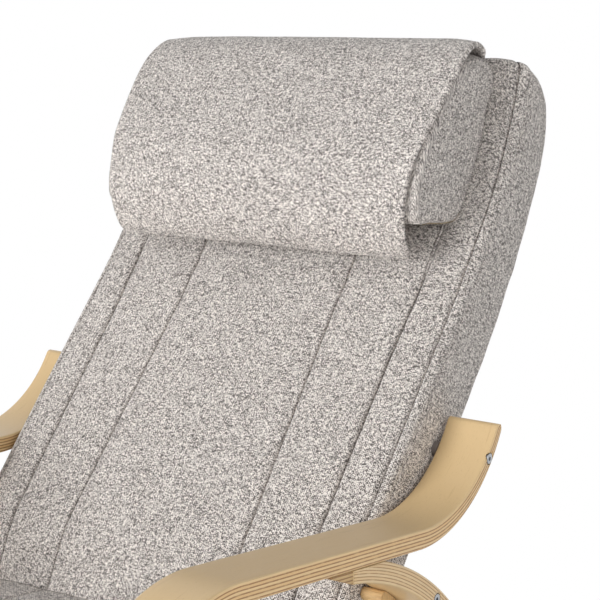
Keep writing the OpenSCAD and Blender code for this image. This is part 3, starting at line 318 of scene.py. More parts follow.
class Nodes:
    """Short calls that add shader nodes to one new material, or to the world."""

    def __init__(self, name=None, world=None):
        self.mat = world or bpy.data.materials.new(name)
        self.mat.use_nodes = True
        self.tree = self.mat.node_tree
        self.shader = self.tree.nodes["Background" if world else "Principled BSDF"]

    def add(self, kind, inputs=None, **settings):
        node = self.tree.nodes.new(kind)
        for key, value in settings.items():
            setattr(node, key, value)
        for key, value in (inputs or {}).items():
            self.put(node.inputs[key], value)
        return node

    def put(self, socket, value):
        if isinstance(value, bpy.types.NodeSocket):
            self.tree.links.new(value, socket)
        elif isinstance(value, bpy.types.Node):
            self.tree.links.new(value.outputs[0], socket)
        else:
            socket.default_value = value

    def math(self, operation, a, b=0.0):
        return self.add("ShaderNodeMath", {0: a, 1: b}, operation=operation).outputs[0]

    def plus(self, a, *others):
        for b in others:
            a = self.math("ADD", a, b)
        return a

    def minus(self, a, b):
        return self.math("SUBTRACT", a, b)

    def times(self, a, b):
        return self.math("MULTIPLY", a, b)

    def centred(self, value, share):
        """A value from 0 to 1 as one that swings about zero, this share wide."""
        return self.times(self.minus(value, 0.5), share)

    def blend(self, factor, a, b, how="MIX"):
        node = self.add("ShaderNodeMix", data_type="RGBA", blend_type=how)
        for socket, value in ((0, factor), (6, a), (7, b)):
            self.put(node.inputs[socket], value)
        return node.outputs[2]

    def flat_place(self):
        return self.add("ShaderNodeUVMap", uv_map="UVMap").outputs[0]

    def own_place(self):
        return self.add("ShaderNodeTexCoord").outputs["Object"]

    def noise(self, where, scale, detail=2.0, rough=0.5, warp=0.0):
        return self.add("ShaderNodeTexNoise", {"Vector": where, "Scale": scale, "Detail": detail,
                                               "Roughness": rough, "Distortion": warp}).outputs[0]

    def grain(self, where, stretch, detail=2.0, rough=0.5, warp=0.0):
        return self.noise(self.stretch(where, stretch), 1.0, detail, rough, warp)

    def yarn(self, where, stretch):
        """One random tone for each short length of yarn."""
        cells = self.add("ShaderNodeTexVoronoi", {"Vector": self.stretch(where, stretch), "Scale": 1.0})
        return self.add("ShaderNodeSeparateColor", {0: cells.outputs["Color"]}).outputs[0]

    def plies(self, level, waver, pitch):
        """Counts plies along a level, and gives how far a place is from the middle of its ply."""
        layer = self.math("DIVIDE", self.plus(level, waver), pitch * MM)
        return layer, self.math("ABSOLUTE", self.minus(self.math("FRACT", layer), 0.5))

    def ramp(self, factor, stops):
        node = self.add("ShaderNodeValToRGB", {0: factor})
        ramp = node.color_ramp
        while len(ramp.elements) < len(stops):
            ramp.elements.new(0.5)
        for e, (at, value) in zip(ramp.elements, stops):
            e.position = at
            e.color = value if isinstance(value, tuple) else (value, value, value, 1)
        return node.outputs[0]

    def stretch(self, where, scale, turn=(0, 0, 0)):
        return self.add("ShaderNodeMapping", {"Vector": where, "Scale": scale, "Rotation": turn}).outputs[0]

    def bump(self, height, strength, distance):
        return self.add("ShaderNodeBump", {"Height": height, "Strength": strength,
                                           "Distance": distance}).outputs[0]

    def backdrop_rays(self):
        """1 for the rays that show the backdrop to the eye, in metal or through glass."""
        path = self.add("ShaderNodeLightPath").outputs
        other = self.math("MAXIMUM", path["Is Glossy Ray"], path["Is Transmission Ray"])
        return self.math("MAXIMUM", path["Is Camera Ray"], other)

    def set(self, **values):
        for key, value in values.items():
            self.put(self.shader.inputs[key.replace("_", " ")], value)
        return self.mat


def cloth(name, light=(214, 207, 202), dark=(160, 152, 147), contrast=1.0):
    """Melange upholstery cloth: a fine weave of mixed light and dark yarns, with slubs and mottling."""
    n = Nodes(name)
    place = n.flat_place()
    u, v = n.add("ShaderNodeSeparateXYZ", {0: place}).outputs[:2]
    wobble = n.centred(n.noise(place, 160.0, 1.0), 0.0012)
    thread_u = n.math("SINE", n.times(n.plus(u, wobble), 2260.0))
    thread_v = n.math("SINE", n.times(n.minus(v, wobble), 2260.0))
    twill = n.math("SINE", n.times(n.plus(u, v, wobble), 1720.0))
    weave = n.plus(n.times(n.times(thread_u, thread_v), 0.8), n.times(twill, 0.12))
    warp = n.yarn(place, (520.0, 1300.0, 400.0))
    weft = n.yarn(place, (1300.0, 560.0, 400.0))
    fleck = n.noise(place, 1300.0, 0.0)
    fine = n.noise(place, 1900.0, 2.0, 0.6)
    mottle = n.noise(place, 17.0, 3.0, 0.55)
    tone = n.plus(n.times(weave, 0.26 * contrast), 0.5)
    for value, share in ((warp, 0.66), (weft, 0.62), (fleck, 0.4), (fine, 0.25)):
        tone = n.plus(tone, n.centred(value, share * contrast))
    tone = n.plus(tone, n.centred(mottle, 0.07))
    middle = tuple((a * 0.62 + b * 0.38) for a, b in zip(light, dark))
    cols = n.ramp(tone, [(0.26, shade(dark, 0.52)), (0.40, shade(dark)), (0.50, shade(middle)),
                         (0.59, shade(light)), (0.76, shade(light, 1.19, 252))])
    warm = n.grain(place, (520.0, 160.0, 200.0))
    cols = n.blend(n.times(warm, 0.5), cols, n.blend(1.0, cols, (1.0, 0.965, 0.955, 1), "MULTIPLY"))
    height = n.plus(n.times(weave, 0.35), n.times(n.plus(warp, weft), 0.5), n.times(fine, 0.4))
    return n.set(Base_Color=cols, Roughness=0.92, Sheen_Weight=0.22, Sheen_Roughness=0.5,
                 Specular_IOR_Level=0.2, Normal=n.bump(height, 0.6, 0.0006))


def veneer(name, tone, dark):
    """Lacquered birch face: long faint figure, short pores, and a broad change of tone."""
    n = Nodes(name)
    place = n.flat_place()
    figure = n.grain(place, (5.0, 62.0, 1.0), 4.0, 0.55, 0.35)
    fine = n.grain(place, (26.0, 620.0, 1.0), 3.0, 0.6)
    pores = n.grain(place, (150.0, 2300.0, 1.0), 2.0, 0.6)
    broad = n.noise(place, 7.0)
    at = n.plus(n.times(figure, 0.45), n.times(fine, 0.35), n.times(broad, 0.2))
    cols = n.ramp(at, [(0.30, shade(dark)), (0.44, shade(tone)), (0.56, shade(tone)),
                       (0.72, shade(tone, 1.05))])
    pore_dark = n.ramp(pores, [(0.28, shade(dark, 0.8)), (0.38, 1.0)])
    cols = n.blend(0.35, cols, pore_dark, "MULTIPLY")
    bump = n.bump(n.plus(n.times(fine, 0.5), pores), 0.10, 0.0003)
    return n.set(Base_Color=cols, Roughness=n.plus(n.times(fine, 0.16), 0.30), Coat_Weight=0.25,
                 Coat_Roughness=0.25, Normal=bump)


def ply_edge(name, pitch, tone, line, soft, thick):
    """The edge of bent plywood: thin glue lines between plies whose grain runs in turn along and across."""
    n = Nodes(name)
    place = n.flat_place()
    waver = n.centred(n.grain(place, (14.0, 60.0, 1.0)), 0.0009)
    layer, near = n.plies(n.add("ShaderNodeSeparateXYZ", {0: place}).outputs[1], waver, pitch)
    turn = n.math("FRACT", n.times(n.math("FLOOR", layer), 0.5))
    along_grain = n.grain(place, (30.0, 900.0, 1.0), 3.0, 0.6)
    end_grain = n.noise(place, 1500.0, 2.0, 0.7)
    speck = n.grain(place, (90.0, 300.0, 1.0), 2.0, 0.6)
    one = n.ramp(along_grain, [(0.35, shade(tone, 0.93)), (0.65, shade(tone))])
    two = n.ramp(end_grain, [(0.38, shade(soft)), (0.62, shade(tone, 0.97))])
    cols = n.blend(n.math("GREATER_THAN", turn, 0.25), one, two)
    glue = n.ramp(near, [(thick, 0.0), (thick + 0.11, 1.0)])
    strength = n.times(glue, n.ramp(speck, [(0.3, 0.5), (0.5, 0.95)]))
    cols = n.blend(strength, cols, shade(line))
    knot = n.ramp(n.grain(place, (24.0, 120.0, 1.0), 1.0), [(0.765, 0.0), (0.80, 0.85)])
    cols = n.blend(knot, cols, colour(104, 70, 38))
    bump = n.bump(n.minus(along_grain, n.times(strength, 0.8)), 0.15, 0.0003)
    return n.set(Base_Color=cols, Roughness=0.48, Coat_Weight=0.12, Coat_Roughness=0.3, Normal=bump)


def plain_wood(name, tone, dark, grain):
    """Solid wood placed by the object's own coordinates."""
    n = Nodes(name)
    place = n.own_place()
    rings = n.grain(place, grain, 4.0, 0.6, 0.6)
    fine = n.grain(place, tuple(g * 9 for g in grain), 3.0, 0.6)
    at = n.plus(n.times(rings, 0.6), n.times(fine, 0.4))
    cols = n.ramp(at, [(0.32, shade(dark)), (0.5, shade(tone)), (0.68, shade(tone, 1.1))])
    return n.set(Base_Color=cols, Roughness=0.6, Normal=n.bump(fine, 0.25, 0.0004))


def metal(name, tone, rough):
    """Plated or brushed metal with fine drawn lines, faint blotches and dulled patches."""
    n = Nodes(name)
    place = n.own_place()
    lines = n.grain(place, (400.0, 30.0, 400.0), 3.0, 0.6)
    cloud = n.noise(place, 60.0, 3.0, 0.6)
    cols = n.ramp(cloud, [(0.3, shade(tone, 0.82)), (0.7, shade(tone))])
    r = n.plus(n.times(lines, 0.18), n.plus(n.times(cloud, 0.12), rough - 0.12))
    return n.set(Base_Color=cols, Roughness=r, Metallic=1.0, Normal=n.bump(lines, 0.12, 0.0002))


def plastic(name, tone, rough=0.45, grain=1400.0, strength=0.25):
    """Moulded plastic with a fine spark-eroded grain and slightly polished high spots."""
    n = Nodes(name)
    place = n.own_place()
    pits = n.noise(place, grain, 3.0, 0.6)
    rub = n.noise(place, 45.0, 3.0)
    cols = n.ramp(rub, [(0.3, shade(tone, 0.9)), (0.7, shade(tone, 1.08))])
    r = n.plus(n.times(rub, 0.14), rough - 0.07)
    return n.set(Base_Color=cols, Roughness=r, Normal=n.bump(pits, strength, 0.0002))


def ply_block(name, pitch, turn, tone, line):
    """Sawn plywood placed by the object's own coordinates, its plies level after turning about X."""
    n = Nodes(name)
    place = n.stretch(n.own_place(), (1, 1, 1), (turn, 0, 0))
    level = n.add("ShaderNodeSeparateXYZ", {0: place}).outputs[2]
    near = n.plies(level, n.centred(n.noise(place, 40.0), 0.0008), pitch)[1]
    grain = n.grain(place, (60.0, 60.0, 900.0), 3.0, 0.6)
    fibre = n.noise(place, 900.0, 2.0, 0.7)
    cols = n.ramp(grain, [(0.35, shade(tone, 0.9)), (0.65, shade(tone))])
    cols = n.blend(n.times(fibre, 0.3), cols, shade(tone, 0.8))
    cols = n.blend(n.times(n.ramp(near, [(0.26, 0.0), (0.38, 1.0)]), 0.9), cols, shade(line))
    return n.set(Base_Color=cols, Roughness=0.5, Normal=n.bump(grain, 0.2, 0.0003))


fabric = cloth("melange_cloth")
thread = plastic("sewing_thread", (62, 55, 53), 0.8, 3000.0, 0.4)
piping_tan = cloth("tan_piping", (164, 148, 116), (124, 108, 80), contrast=0.6)
face_wood = veneer("birch_face", (216, 186, 138), (188, 154, 108))
arm_edge = ply_edge("ply_edge_arm", 3.5, (238, 206, 154), (156, 108, 62), (218, 178, 122), 0.26)
arc_edge = ply_edge("ply_edge_arc", 3.05, (234, 206, 160), (164, 120, 74), (220, 186, 136), 0.29)
wedge_wood = ply_block("sawn_plywood", 3.6, ARM_SLOPE, (214, 180, 128), (134, 94, 52))
block_wood = plain_wood("tan_block", (208, 174, 124), (170, 134, 88), (14.0, 120.0, 14.0))
rail_mat = plain_wood("rail_wood", (205, 170, 124), (160, 124, 82), (12.0, 90.0, 90.0))
zinc = metal("zinc_plate", (198, 200, 203), 0.32)


# Bent wood side frames
def band_ring(thick, r):
    """Points round a band's section, across and by depth, and for each 1 on a cut edge or 0 on a face."""
    centres = np.array([(BAND_IN + r, r), (HALF_W - r, r), (HALF_W - r, thick - r), (BAND_IN + r, thick - r)])
    ways = ((0, -1), (1, 0), (0, 1), (-1, 0))
    pts, side = [], []
    for k, count in enumerate((7, 5, 7, 5)):
        start, stop = centres[k], centres[(k + 1) % 4]
        pts.extend(np.linspace(start, stop, count) + r * np.array(ways[k]))
        side.extend([k % 2] * count)
        for turn in (22.5, 45, 67.5):
            a = math.radians(90 * k - 90 + turn)
            pts.append(stop + r * np.array([math.cos(a), math.sin(a)]))
            side.append(k % 2 if turn < 40 else 1 - k % 2)
    return np.array(pts), side


def band(name, lines, mats, mirror, end=None, trim=None):
    """A bent band between its upper and its lower line in Y and Z, both as rows of points."""
    top, under = lines
    thick = np.linalg.norm(under - top, axis=1)
    run = lengths(top) * MM
    rows, uvs = [], []
    for i in range(len(top)):
        ring, side = band_ring(thick[i], min(BAND_ROUND, thick[i] * 0.42))
        way = (under[i] - top[i]) / thick[i]
        rows.append(np.concatenate([ring[:, :1], top[i] + ring[:, 1:2] * way], 1))
        closed = looped(ring) * MM
        is_side = np.array(side + side[:1]) == 1
        across = np.where(is_side, closed[:, 1], closed[:, 0])
        uvs.append(np.stack([np.full(len(closed), run[i]), across], -1))
    p = np.array(rows)
    if end is not None:
        p[-1] = end(p[-1])
    if trim is not None:
        trim(p)
    col = [1 if side[c] and side[(c + 1) % len(side)] else 0 for c in range(len(side))]
    if mirror:
        p[..., 0] *= -1
    return grid(name, p, uvs, mats, col_mats=col, flip=not mirror)


def ring_points(cy, cz, r, a0, a1, n):
    a = np.radians(np.linspace(a0, a1, n))
    return np.stack([cy + r * np.cos(a), cz + r * np.sin(a)], -1)


def on_rocker(points):
    """Drops the last row of a leg straight onto the rocker's upper face."""
    y = points[:, 1]
    out = points.copy()
    out[:, 2] = ROCK_R - np.sqrt((ROCK_R - RUNNER_T) ** 2 - (y - ROCK_Y) ** 2)
    return out


def cap_points(mid, ahead, out, half):
    """Points of a rounded end, from its root to its tip: the upper ones and the lower ones."""
    a = np.radians((18, 36, 54, 72, 88))[:, None]
    tip, rise = mid + ahead * half * np.sin(a), out * half * np.cos(a)
    return tip - rise, tip + rise


def arm_lines():
    """From the rounded rear tip along the arm, round the front bend and down to the rocker."""
    tip_a, bend_a, rake = -31.5, -97.5, math.radians(6)
    join_y, join_z, front_y, bend_r, leg_foot = 93.508, 550.126, -200.0, 150.0, 110.0
    a = np.linspace(tip_a, bend_a, 34)
    thick = mix(TIP_THICK, ARM_THICK, (a - tip_a) / (bend_a - tip_a))
    r = np.radians(a)
    spin = np.stack([np.cos(r), np.sin(r)], -1)
    centre = np.array([ARM_CY, ARM_CZ])
    top, under = centre + ARM_R * spin, centre + (ARM_R + thick[:, None]) * spin
    tangent = np.array([-math.sin(r[0]), math.cos(r[0])])
    cap_top, cap_under = cap_points((top[0] + under[0]) / 2, tangent, spin[0], TIP_THICK / 2)
    front_z = join_z + (join_y - front_y) * math.tan(ARM_SLOPE)
    up = np.array([math.sin(ARM_SLOPE), math.cos(ARM_SLOPE)])
    leg_cy, leg_cz = front_y - bend_r * up[0], front_z - bend_r * up[1]
    start, stop = top[-1], np.array([front_y, front_z])
    mids = start + (stop - start) * np.linspace(0, 1, 16)[1:-1, None]
    top = np.concatenate([cap_top[::-1], top, mids, ring_points(leg_cy, leg_cz, bend_r, 82.5, 186, 44)])
    under = np.concatenate([cap_under[::-1], under, mids - ARM_THICK * up,
                            ring_points(leg_cy, leg_cz, bend_r - ARM_THICK, 82.5, 186, 44)])
    down = np.array([math.sin(rake), -math.cos(rake)]) / math.cos(rake)
    steps = np.linspace(0, 1, 12)[1:, None]
    return [np.concatenate([line, line[-1] + steps * (line[-1, 1] - leg_foot) * down])
            for line in (top, under)]


def arc_lines():
    """From the square front end under the arm down to the rocker."""
    middle = ARC_R - ARC_T / 2
    low = math.degrees(math.asin((60.0 - ARC_CZ) / middle))
    lines = []
    for r in (ARC_R, ARC_R - ARC_T):
        front = math.degrees(math.acos((-34 - ARC_CY) / r))
        lines.append(ring_points(ARC_CY, ARC_CZ, r, front, low, 96))
    return lines


def runner_lines():
    front = -90 - math.degrees(math.asin(564 / ROCK_R))
    rear = -90 + math.degrees(math.asin(400 / ROCK_R))
    top = ring_points(ROCK_Y, ROCK_R, ROCK_R - RUNNER_T, front, rear, 110)
    under = ring_points(ROCK_Y, ROCK_R, ROCK_R, front, rear, 110)
    under[:, 1] = np.maximum(under[:, 1], 2.0)
    caps = []
    for i, way in ((0, -1), (-1, 1)):
        across = under[i] - top[i]
        out = across / np.linalg.norm(across)
        ahead = way * np.array([-out[1], out[0]])
        caps.append(cap_points((top[i] + under[i]) / 2, ahead, out, np.linalg.norm(across) / 2 - 0.05))
    return [np.concatenate([first[::-1], line, last])
            for first, line, last in zip(caps[0], (top, under), caps[1])]


TIP_BOLT = (225.20, 590.22)
ARC_BOLT = (119.32, 470.01)
LOW_BOLT = (245.71, 144.15)
LEG_BOLT = (-348.39, 331.85)


def under_arm(p):
    """Trims the top of the arc to the straight underside of the arm."""
    level = 530.297 + (90.898 - p[..., 1]) * math.tan(ARM_SLOPE) - 0.15
    p[..., 2] = np.where(p[..., 1] < 60, np.minimum(p[..., 2], level), p[..., 2])


for hand, sign in HANDS:
    mirror = sign < 0
    arm = band(f"arm_{hand}", arm_lines(), [face_wood, arm_edge], mirror, on_rocker)
    cut(arm, head_cutters(sign, (TIP_BOLT, LEG_BOLT)))
    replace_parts(arm, f"arm_band_{hand}")
    arc = band(f"arc_{hand}", arc_lines(), [face_wood, arc_edge], mirror, on_rocker, under_arm)
    cut(arc, head_cutters(sign, (ARC_BOLT, LOW_BOLT)))
    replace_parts(arc, f"rear_arc_{hand}")
    runner = band(f"rocker_{hand}", runner_lines(), [face_wood, arm_edge], mirror)
    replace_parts(runner, f"runner_{hand}")
    for piece in (arm, arc, runner):
        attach(piece, "chair")


def blocks(name, outline, x0, x1, mat):
    """A pair of blocks, left and right, with one outline in Y and Z."""
    verts, faces, n = [], [], len(outline)
    for _, sign in HANDS:
        base = len(verts)
        for x in (x0, x1):
            verts += [(sign * x, y, z) for y, z in outline]
        sides = [[base + k, base + (k + 1) % n, base + n + (k + 1) % n, base + n + k] for k in range(n)]
        ends = [[base + k for k in range(n - 1, -1, -1)], [base + n + k for k in range(n)]]
        faces += [f[::-1] if sign < 0 else f for f in sides + ends]
    piece = finish_mesh(name, verts, faces, [mat], soft=False)
    soften(piece, 0.8)
    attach(piece, "chair")
    return piece


def side_block_outline():
    """A strip under the arc, rounded at its upper end and square at its lower end."""
    inner, outer, low_a, high_a = 333.6, 347.2, 48, 55
    low_line = ring_points(ARC_CY, ARC_CZ, inner, low_a, high_a, 8)
    high_line = ring_points(ARC_CY, ARC_CZ, outer, high_a, low_a, 8)
    tangent = math.radians(high_a + 90)
    a = np.radians((25, 50, 75, 105, 130, 155))[:, None]
    out = (high_line[0] - low_line[-1]) / 2
    ahead = np.array([math.cos(tangent), math.sin(tangent)]) * (outer - inner) / 2
    round_end = (low_line[-1] + high_line[0]) / 2 - out * np.cos(a) + ahead * np.sin(a)
    return np.concatenate([low_line, round_end, high_line]).tolist()


WEDGE = [(-34, 533.3), (-34, 546.5), (-70, 551.2), (-70, 549.4)]
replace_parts(blocks("arm_wedges", WEDGE, 266.0, 324.2, wedge_wood), "arm_blocks")
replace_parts(blocks("arc_side_blocks", side_block_outline(), 259.0, 283.8, block_wood), "side_blocks")


# Back cushion
def head_lean(s):
    return -44 * np.maximum(0, (s - 560) / 200) ** 2


def side_drop(s):
    return mix(2, 6, smooth((s - 180) / 320))


def settle(s):
    """The seat end of the back stands a little proud and its shoulders lie a little deeper."""
    return np.clip(-10 + 16 * (s - 172) / 328, -12, 4.5) * smooth((s - 40) / 80)


def front_m(x, s):
    return head_lean(s) + settle(s) + side_drop(s) * (np.abs(x) / CORNER) ** 4.5


def rear_bow(s):
    return np.where(s < 500, mix(84, 103, smooth((s - 60) / 440)), 103 - 44 * ((s - 500) / 260) ** 2)


def rear_m(s):
    return rear_bow(s) - round_in(s - 700, 60)


def seam_a(s):
    return 108 + 11 * np.clip((420 - s) / 290, 0, 1)


def seam_b(s):
    return 200.5 + 3 * smooth((s - 380) / 120)


def panel_relief(x, v, seed, s):
    """Depth below the plain face: stitched seams, puffed panels between them and puckers along them."""
    ax = np.abs(x)
    da, db, dc = np.abs(ax - seam_a(s)), np.abs(ax - seam_b(s)), np.abs(CORNER - ax)
    near = np.minimum(np.minimum(da, db), dc)
    puff = 2.4 * (1 - np.exp(-near / 3.2)) + 1.6 * (1 - np.exp(-near / 20.0))
    grooves = ((da, 3.0, 1.1), (db, 5.0, 1.5), (dc, 4.6, 2.1))
    sewn = sum(deep * np.exp(-((d / wide) ** 2)) for d, deep, wide in grooves)
    tug = soft_noise(v, ax * 0.35, 13.0, seed) * 0.55 * np.exp(-np.minimum(da, db) / 10.0)
    broad = 1.2 * soft_noise(x, v, 85.0, seed + 1) + 0.5 * soft_noise(x + 0.4 * v, v, 31.0, seed + 2)
    return sewn - puff + tug - broad * np.minimum(1, near / 14.0)


def back_face(x, s):
    return front_m(x, s) + panel_relief(x, s, BACK_SEED, s)


def front_columns(s):
    a, b = float(seam_a(s)), float(seam_b(s))
    close = [0.5, 1.0, 1.6, 2.4, 3.6, 5.5, 8.0]
    half = list(np.linspace(0, a - 8, 23)[:-1])
    for c in (a, b):
        half += [c - d for d in close[::-1]] + [c] + [c + d for d in close]
        if c == a:
            half += list(np.linspace(a + 8, b - 8, 15)[1:-1])
    half += list(np.linspace(b + 8, CORNER - 6, 6)[1:]) + [CORNER - d for d in (4, 2.4, 1.4, 0.7, 0)]
    half = np.array(half)
    return np.concatenate([-half[:0:-1], half])


FACE_MIDDLE = len(front_columns(0)) // 2


def strip(*pieces):
    return np.concatenate([np.stack(np.broadcast_arrays(*p), -1) for p in pieces])


def section(xs, face, side, waves, rear):
    """A cushion's section: its face, one side, its rear and its other side, each side with its own waves."""
    right, left = side.copy(), side.copy()
    right[:, 0] += waves[0]
    left[:, 0] += waves[1]
    back = np.linspace(side[-1, 0], -side[-1, 0], 26)[1:-1]
    x = np.concatenate([xs, right[:, 0], back, -left[::-1, 0]])
    return x, np.concatenate([face, right[:, 1], np.full(len(back), rear), left[::-1, 1]])


def ring_uv(x, m, v):
    """Where a ring lies on its cloth: round it from the middle of its face, and along the cushion."""
    around = lengths(looped(np.stack([x, m], -1)))
    return np.stack([around - around[FACE_MIDDLE], np.full(len(around), v)], -1) * MM


def drawn_in(x, m, inset):
    """A ring drawn in from its edge, for the closed end of a cushion."""
    mid, half = (m.max() + m.min()) / 2, (m.max() - m.min()) / 2
    return np.sign(x) * np.maximum(np.abs(x) - inset, 0), mid + (m - mid) * max(1 - inset / half, 0.03)


def back_ring(s):
    k = 1 - float(round_in(-37 - s, 18) + round_in(s - 740, 16)) / EDGE
    lift = float(round_in(s - 742, 14))
    xs = front_columns(s)
    x0, edge, corner, rear = CORNER * k, EDGE * k, front_m(CORNER, s) + lift, rear_m(s)
    room = (rear - corner) / 2
    a_r, b_r = min(10.0, room * 0.5), min(12.0, room * 0.96)
    a = np.radians((5, 11, 19, 29, 40, 52, 65, 78, 90))
    b = np.radians((0, 15, 30, 45, 60, 75, 90))
    d = np.array((0.8, 1.6, 2.1, 2.5, 2.8, 3.1, 3.5, 4.0, 5.0))
    seam = corner + a_r + d * min(1.0, room / 30)
    swell = 1.4 * np.sin(np.linspace(0, math.pi, 9))[1:-1]
    side = strip((x0 + (edge - x0) * np.sin(a), corner + a_r * (1 - np.cos(a))),
                 (edge - 2.4 * np.exp(-(((d - 2.8) / 0.85) ** 2)), seam),
                 (edge + swell, np.linspace(seam[-1], rear - b_r, 9)[1:-1]),
                 (edge - b_r * k * (1 - np.cos(b)), rear - b_r + b_r * np.sin(b)))
    fade = smooth((side[:, 1] - corner - a_r) / 16)
    waves = []
    for seed in (21, 23):
        broad, small = soft_noise(side[:, 1], s, 60.0, seed), soft_noise(side[:, 1] * 2, s, 24.0, seed + 1)
        waves.append((broad * 1.2 + small * 0.5) * fade)
    return section(xs * k, back_face(xs, s) + lift, side, waves, rear)


def back_cushion():
    low_r, top_from, top_rise = 18, 722, 34
    low = BACK_BOTTOM + low_r * (1 - np.cos(np.radians((0, 20, 40, 60, 75, 90))))
    turns = np.radians((0, 7, 14, 21, 28, 35, 42, 49, 56, 63, 70, 78, 84, 90))
    high = top_from + top_rise * np.sin(turns)
    rings, uvs = [], []
    for s in np.concatenate([low, np.arange(-33, 719, 4.5), high]):
        x, m = back_ring(s)
        rings.append(back_at(x, m, s))
        uvs.append(ring_uv(x, m, s))
    for inset, rise in ((1.5, 1.2), (4, 2.2), (8, 3.0), (13, 3.5), (18, 3.7)):
        rings.append(back_at(*drawn_in(x, m, inset), high[-1] + rise))
        uvs.append(uvs[-1] + [0, inset * MM])
    cushion = grid("back_pad", rings, uvs, [fabric])
    # Rooms behind the padding for the frame and the mechanism, and one below for the seat
    rooms = ((FRAME_HALF, 36.6, -6, 206, 692), (184, 30.6, -6, 206, 692), (FRAME_HALF, -120, -80, 206, -5),
             (108, 8, 130, 31.6, 630))
    cut(cushion, [box_cutter((-half, m0, s0), (half, m1, s1), back_at) for half, m0, s0, m1, s1 in rooms])
    return cushion


back_pad = back_cushion()
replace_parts(back_pad, "back_cushion")
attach(back_pad, "chair")


# Seat cushion
def seat_top(x, y):
    crown, drop = 4 * (1 - (x / EDGE) ** 2), 7 * (np.abs(x) / CORNER) ** 4.5
    return crown - drop - round_in(FRONT_R - y - SEAT_LEN, FRONT_R)


def seat_ring(t):
    y = -t * SEAT_LEN
    floor_z = -SEAT_DEPTH + float(round_in(23 - y - SEAT_LEN, 23))
    slant = (1 - t) * math.tan(BACK_LEAN - SEAT_TILT)
    xs = front_columns(SEAT_SEAMS)
    k = 1 - float(round_in(14 - y - SEAT_LEN, 14)) / EDGE
    top = seat_top(xs, y) - 0.6 * panel_relief(xs, y + 900, SEAT_SEED, SEAT_SEAMS)
    edge = float(seat_top(CORNER, y))
    room = (edge - floor_z) / 2
    a_r, b_r = min(12.0, room * 0.96), min(16.0, room * 0.96)
    a = np.radians((4, 12, 24, 36, 48, 60, 75, 90))
    b = np.radians((0, 18, 36, 54, 72, 90))
    side = strip((CORNER + 10 * np.sin(a), edge - a_r * (1 - np.cos(a))),
                 (258.2 + 1.2 * np.sin(np.linspace(0, math.pi, 8))[1:-1],
                  np.linspace(edge - a_r, floor_z + b_r, 8)[1:-1]),
                 (EDGE - 16 * (1 - np.cos(b)), floor_z + b_r - b_r * np.sin(b)))
    waves = [soft_noise(side[:, 1], y, 55.0, seed) for seed in (41, 42)]
    x, z = section(xs, top, side, waves, floor_z)
    return x * k, y + slant * z - 4.2, z


def seat_cushion():
    turns = np.radians((2, 8, 15, 22, 30, 38, 46, 54, 62, 70, 78, 84, 90))
    roll = 1 - (1 - np.sin(turns)) * FRONT_R / SEAT_LEN
    rings, uvs = [], []
    for t in np.concatenate([np.arange(0, 0.905, 0.01), roll]):
        x, y, z = seat_ring(t)
        rings.append(seat_at(x, y, z))
        uvs.append(ring_uv(x, z, -t * SEAT_LEN))
    x, y, z = seat_ring(1.0)
    for inset, rise in ((2, 0.8), (5, 1.5), (10, 2.1), (16, 2.5)):
        x_in, z_in = drawn_in(x, z, inset)
        rings.append(seat_at(x_in, y - rise, z_in))
        uvs.append(uvs[-1] - [0, inset * MM])
    cushion = grid("seat_pad", rings, uvs, [fabric], flip=True)
    cut(cushion, [box_cutter((-FRAME_HALF, -474.4, -130), (FRAME_HALF, 105, -62.7), seat_at)])
    return cushion


seat_pad = seat_cushion()
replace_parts(seat_pad, "seat_cushion")
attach(seat_pad, "chair")


# Head pillow
def pillow_section(x, end):
    """The pillow's section at a place across it, drawn in by end where the pillow rounds off."""
    top, low = 745.0, 512.0
    h, out = top - low, -101.0 + end
    inner = 1 - float(smooth((abs(x) - 207) / 7))
    gap = 2.5 + 9.0 * inner
    pts = [(m, s + end / 2) for m, s in ((out * 0.67, 511), (out * 0.49, 522), (out * 0.3, 533), (-13, 544))]
    for s, less in ((558, 4.0), (580, 0.0), (612, 0.0), (648, 0.0), (684, 0.0), (716, 0.0)):
        pts.append((float(front_m(x, s)) - gap - less - end / 2, s))
    behind = min(HINGE_M * 0.7, float(front_m(x, top)) - gap)
    pts.append((mix(-20, behind, inner), top - mix(6, 0.04 * h, inner) - end / 2))
    pts += [(out * share, top - part * h - end / 2) for share, part in ((0.52, 0), (0.68, 0.05))]
    pts += [(out * share, top - part * h) for share, part in (
        (0.83, 0.13), (0.94, 0.25), (1, 0.42), (1, 0.62), (0.97, 0.78), (0.83, 0.93))]
    return np.array(pts)


def droop(x, s, m):
    """How far the pillow and the cloth over it sink towards their two ends, more behind than in front."""
    return 9.0 * np.clip((np.abs(x) - 176) / 42, 0, 1) ** 2 * smooth((s - 640) / 90) * (
        0.25 + 0.75 * smooth((m + 95) / 40))


def pillow_ring(x, end):
    ring = spline(pillow_section(x, end), 6, closed=True)
    ring[:, 1] -= droop(x, ring[:, 1], ring[:, 0])
    return ring


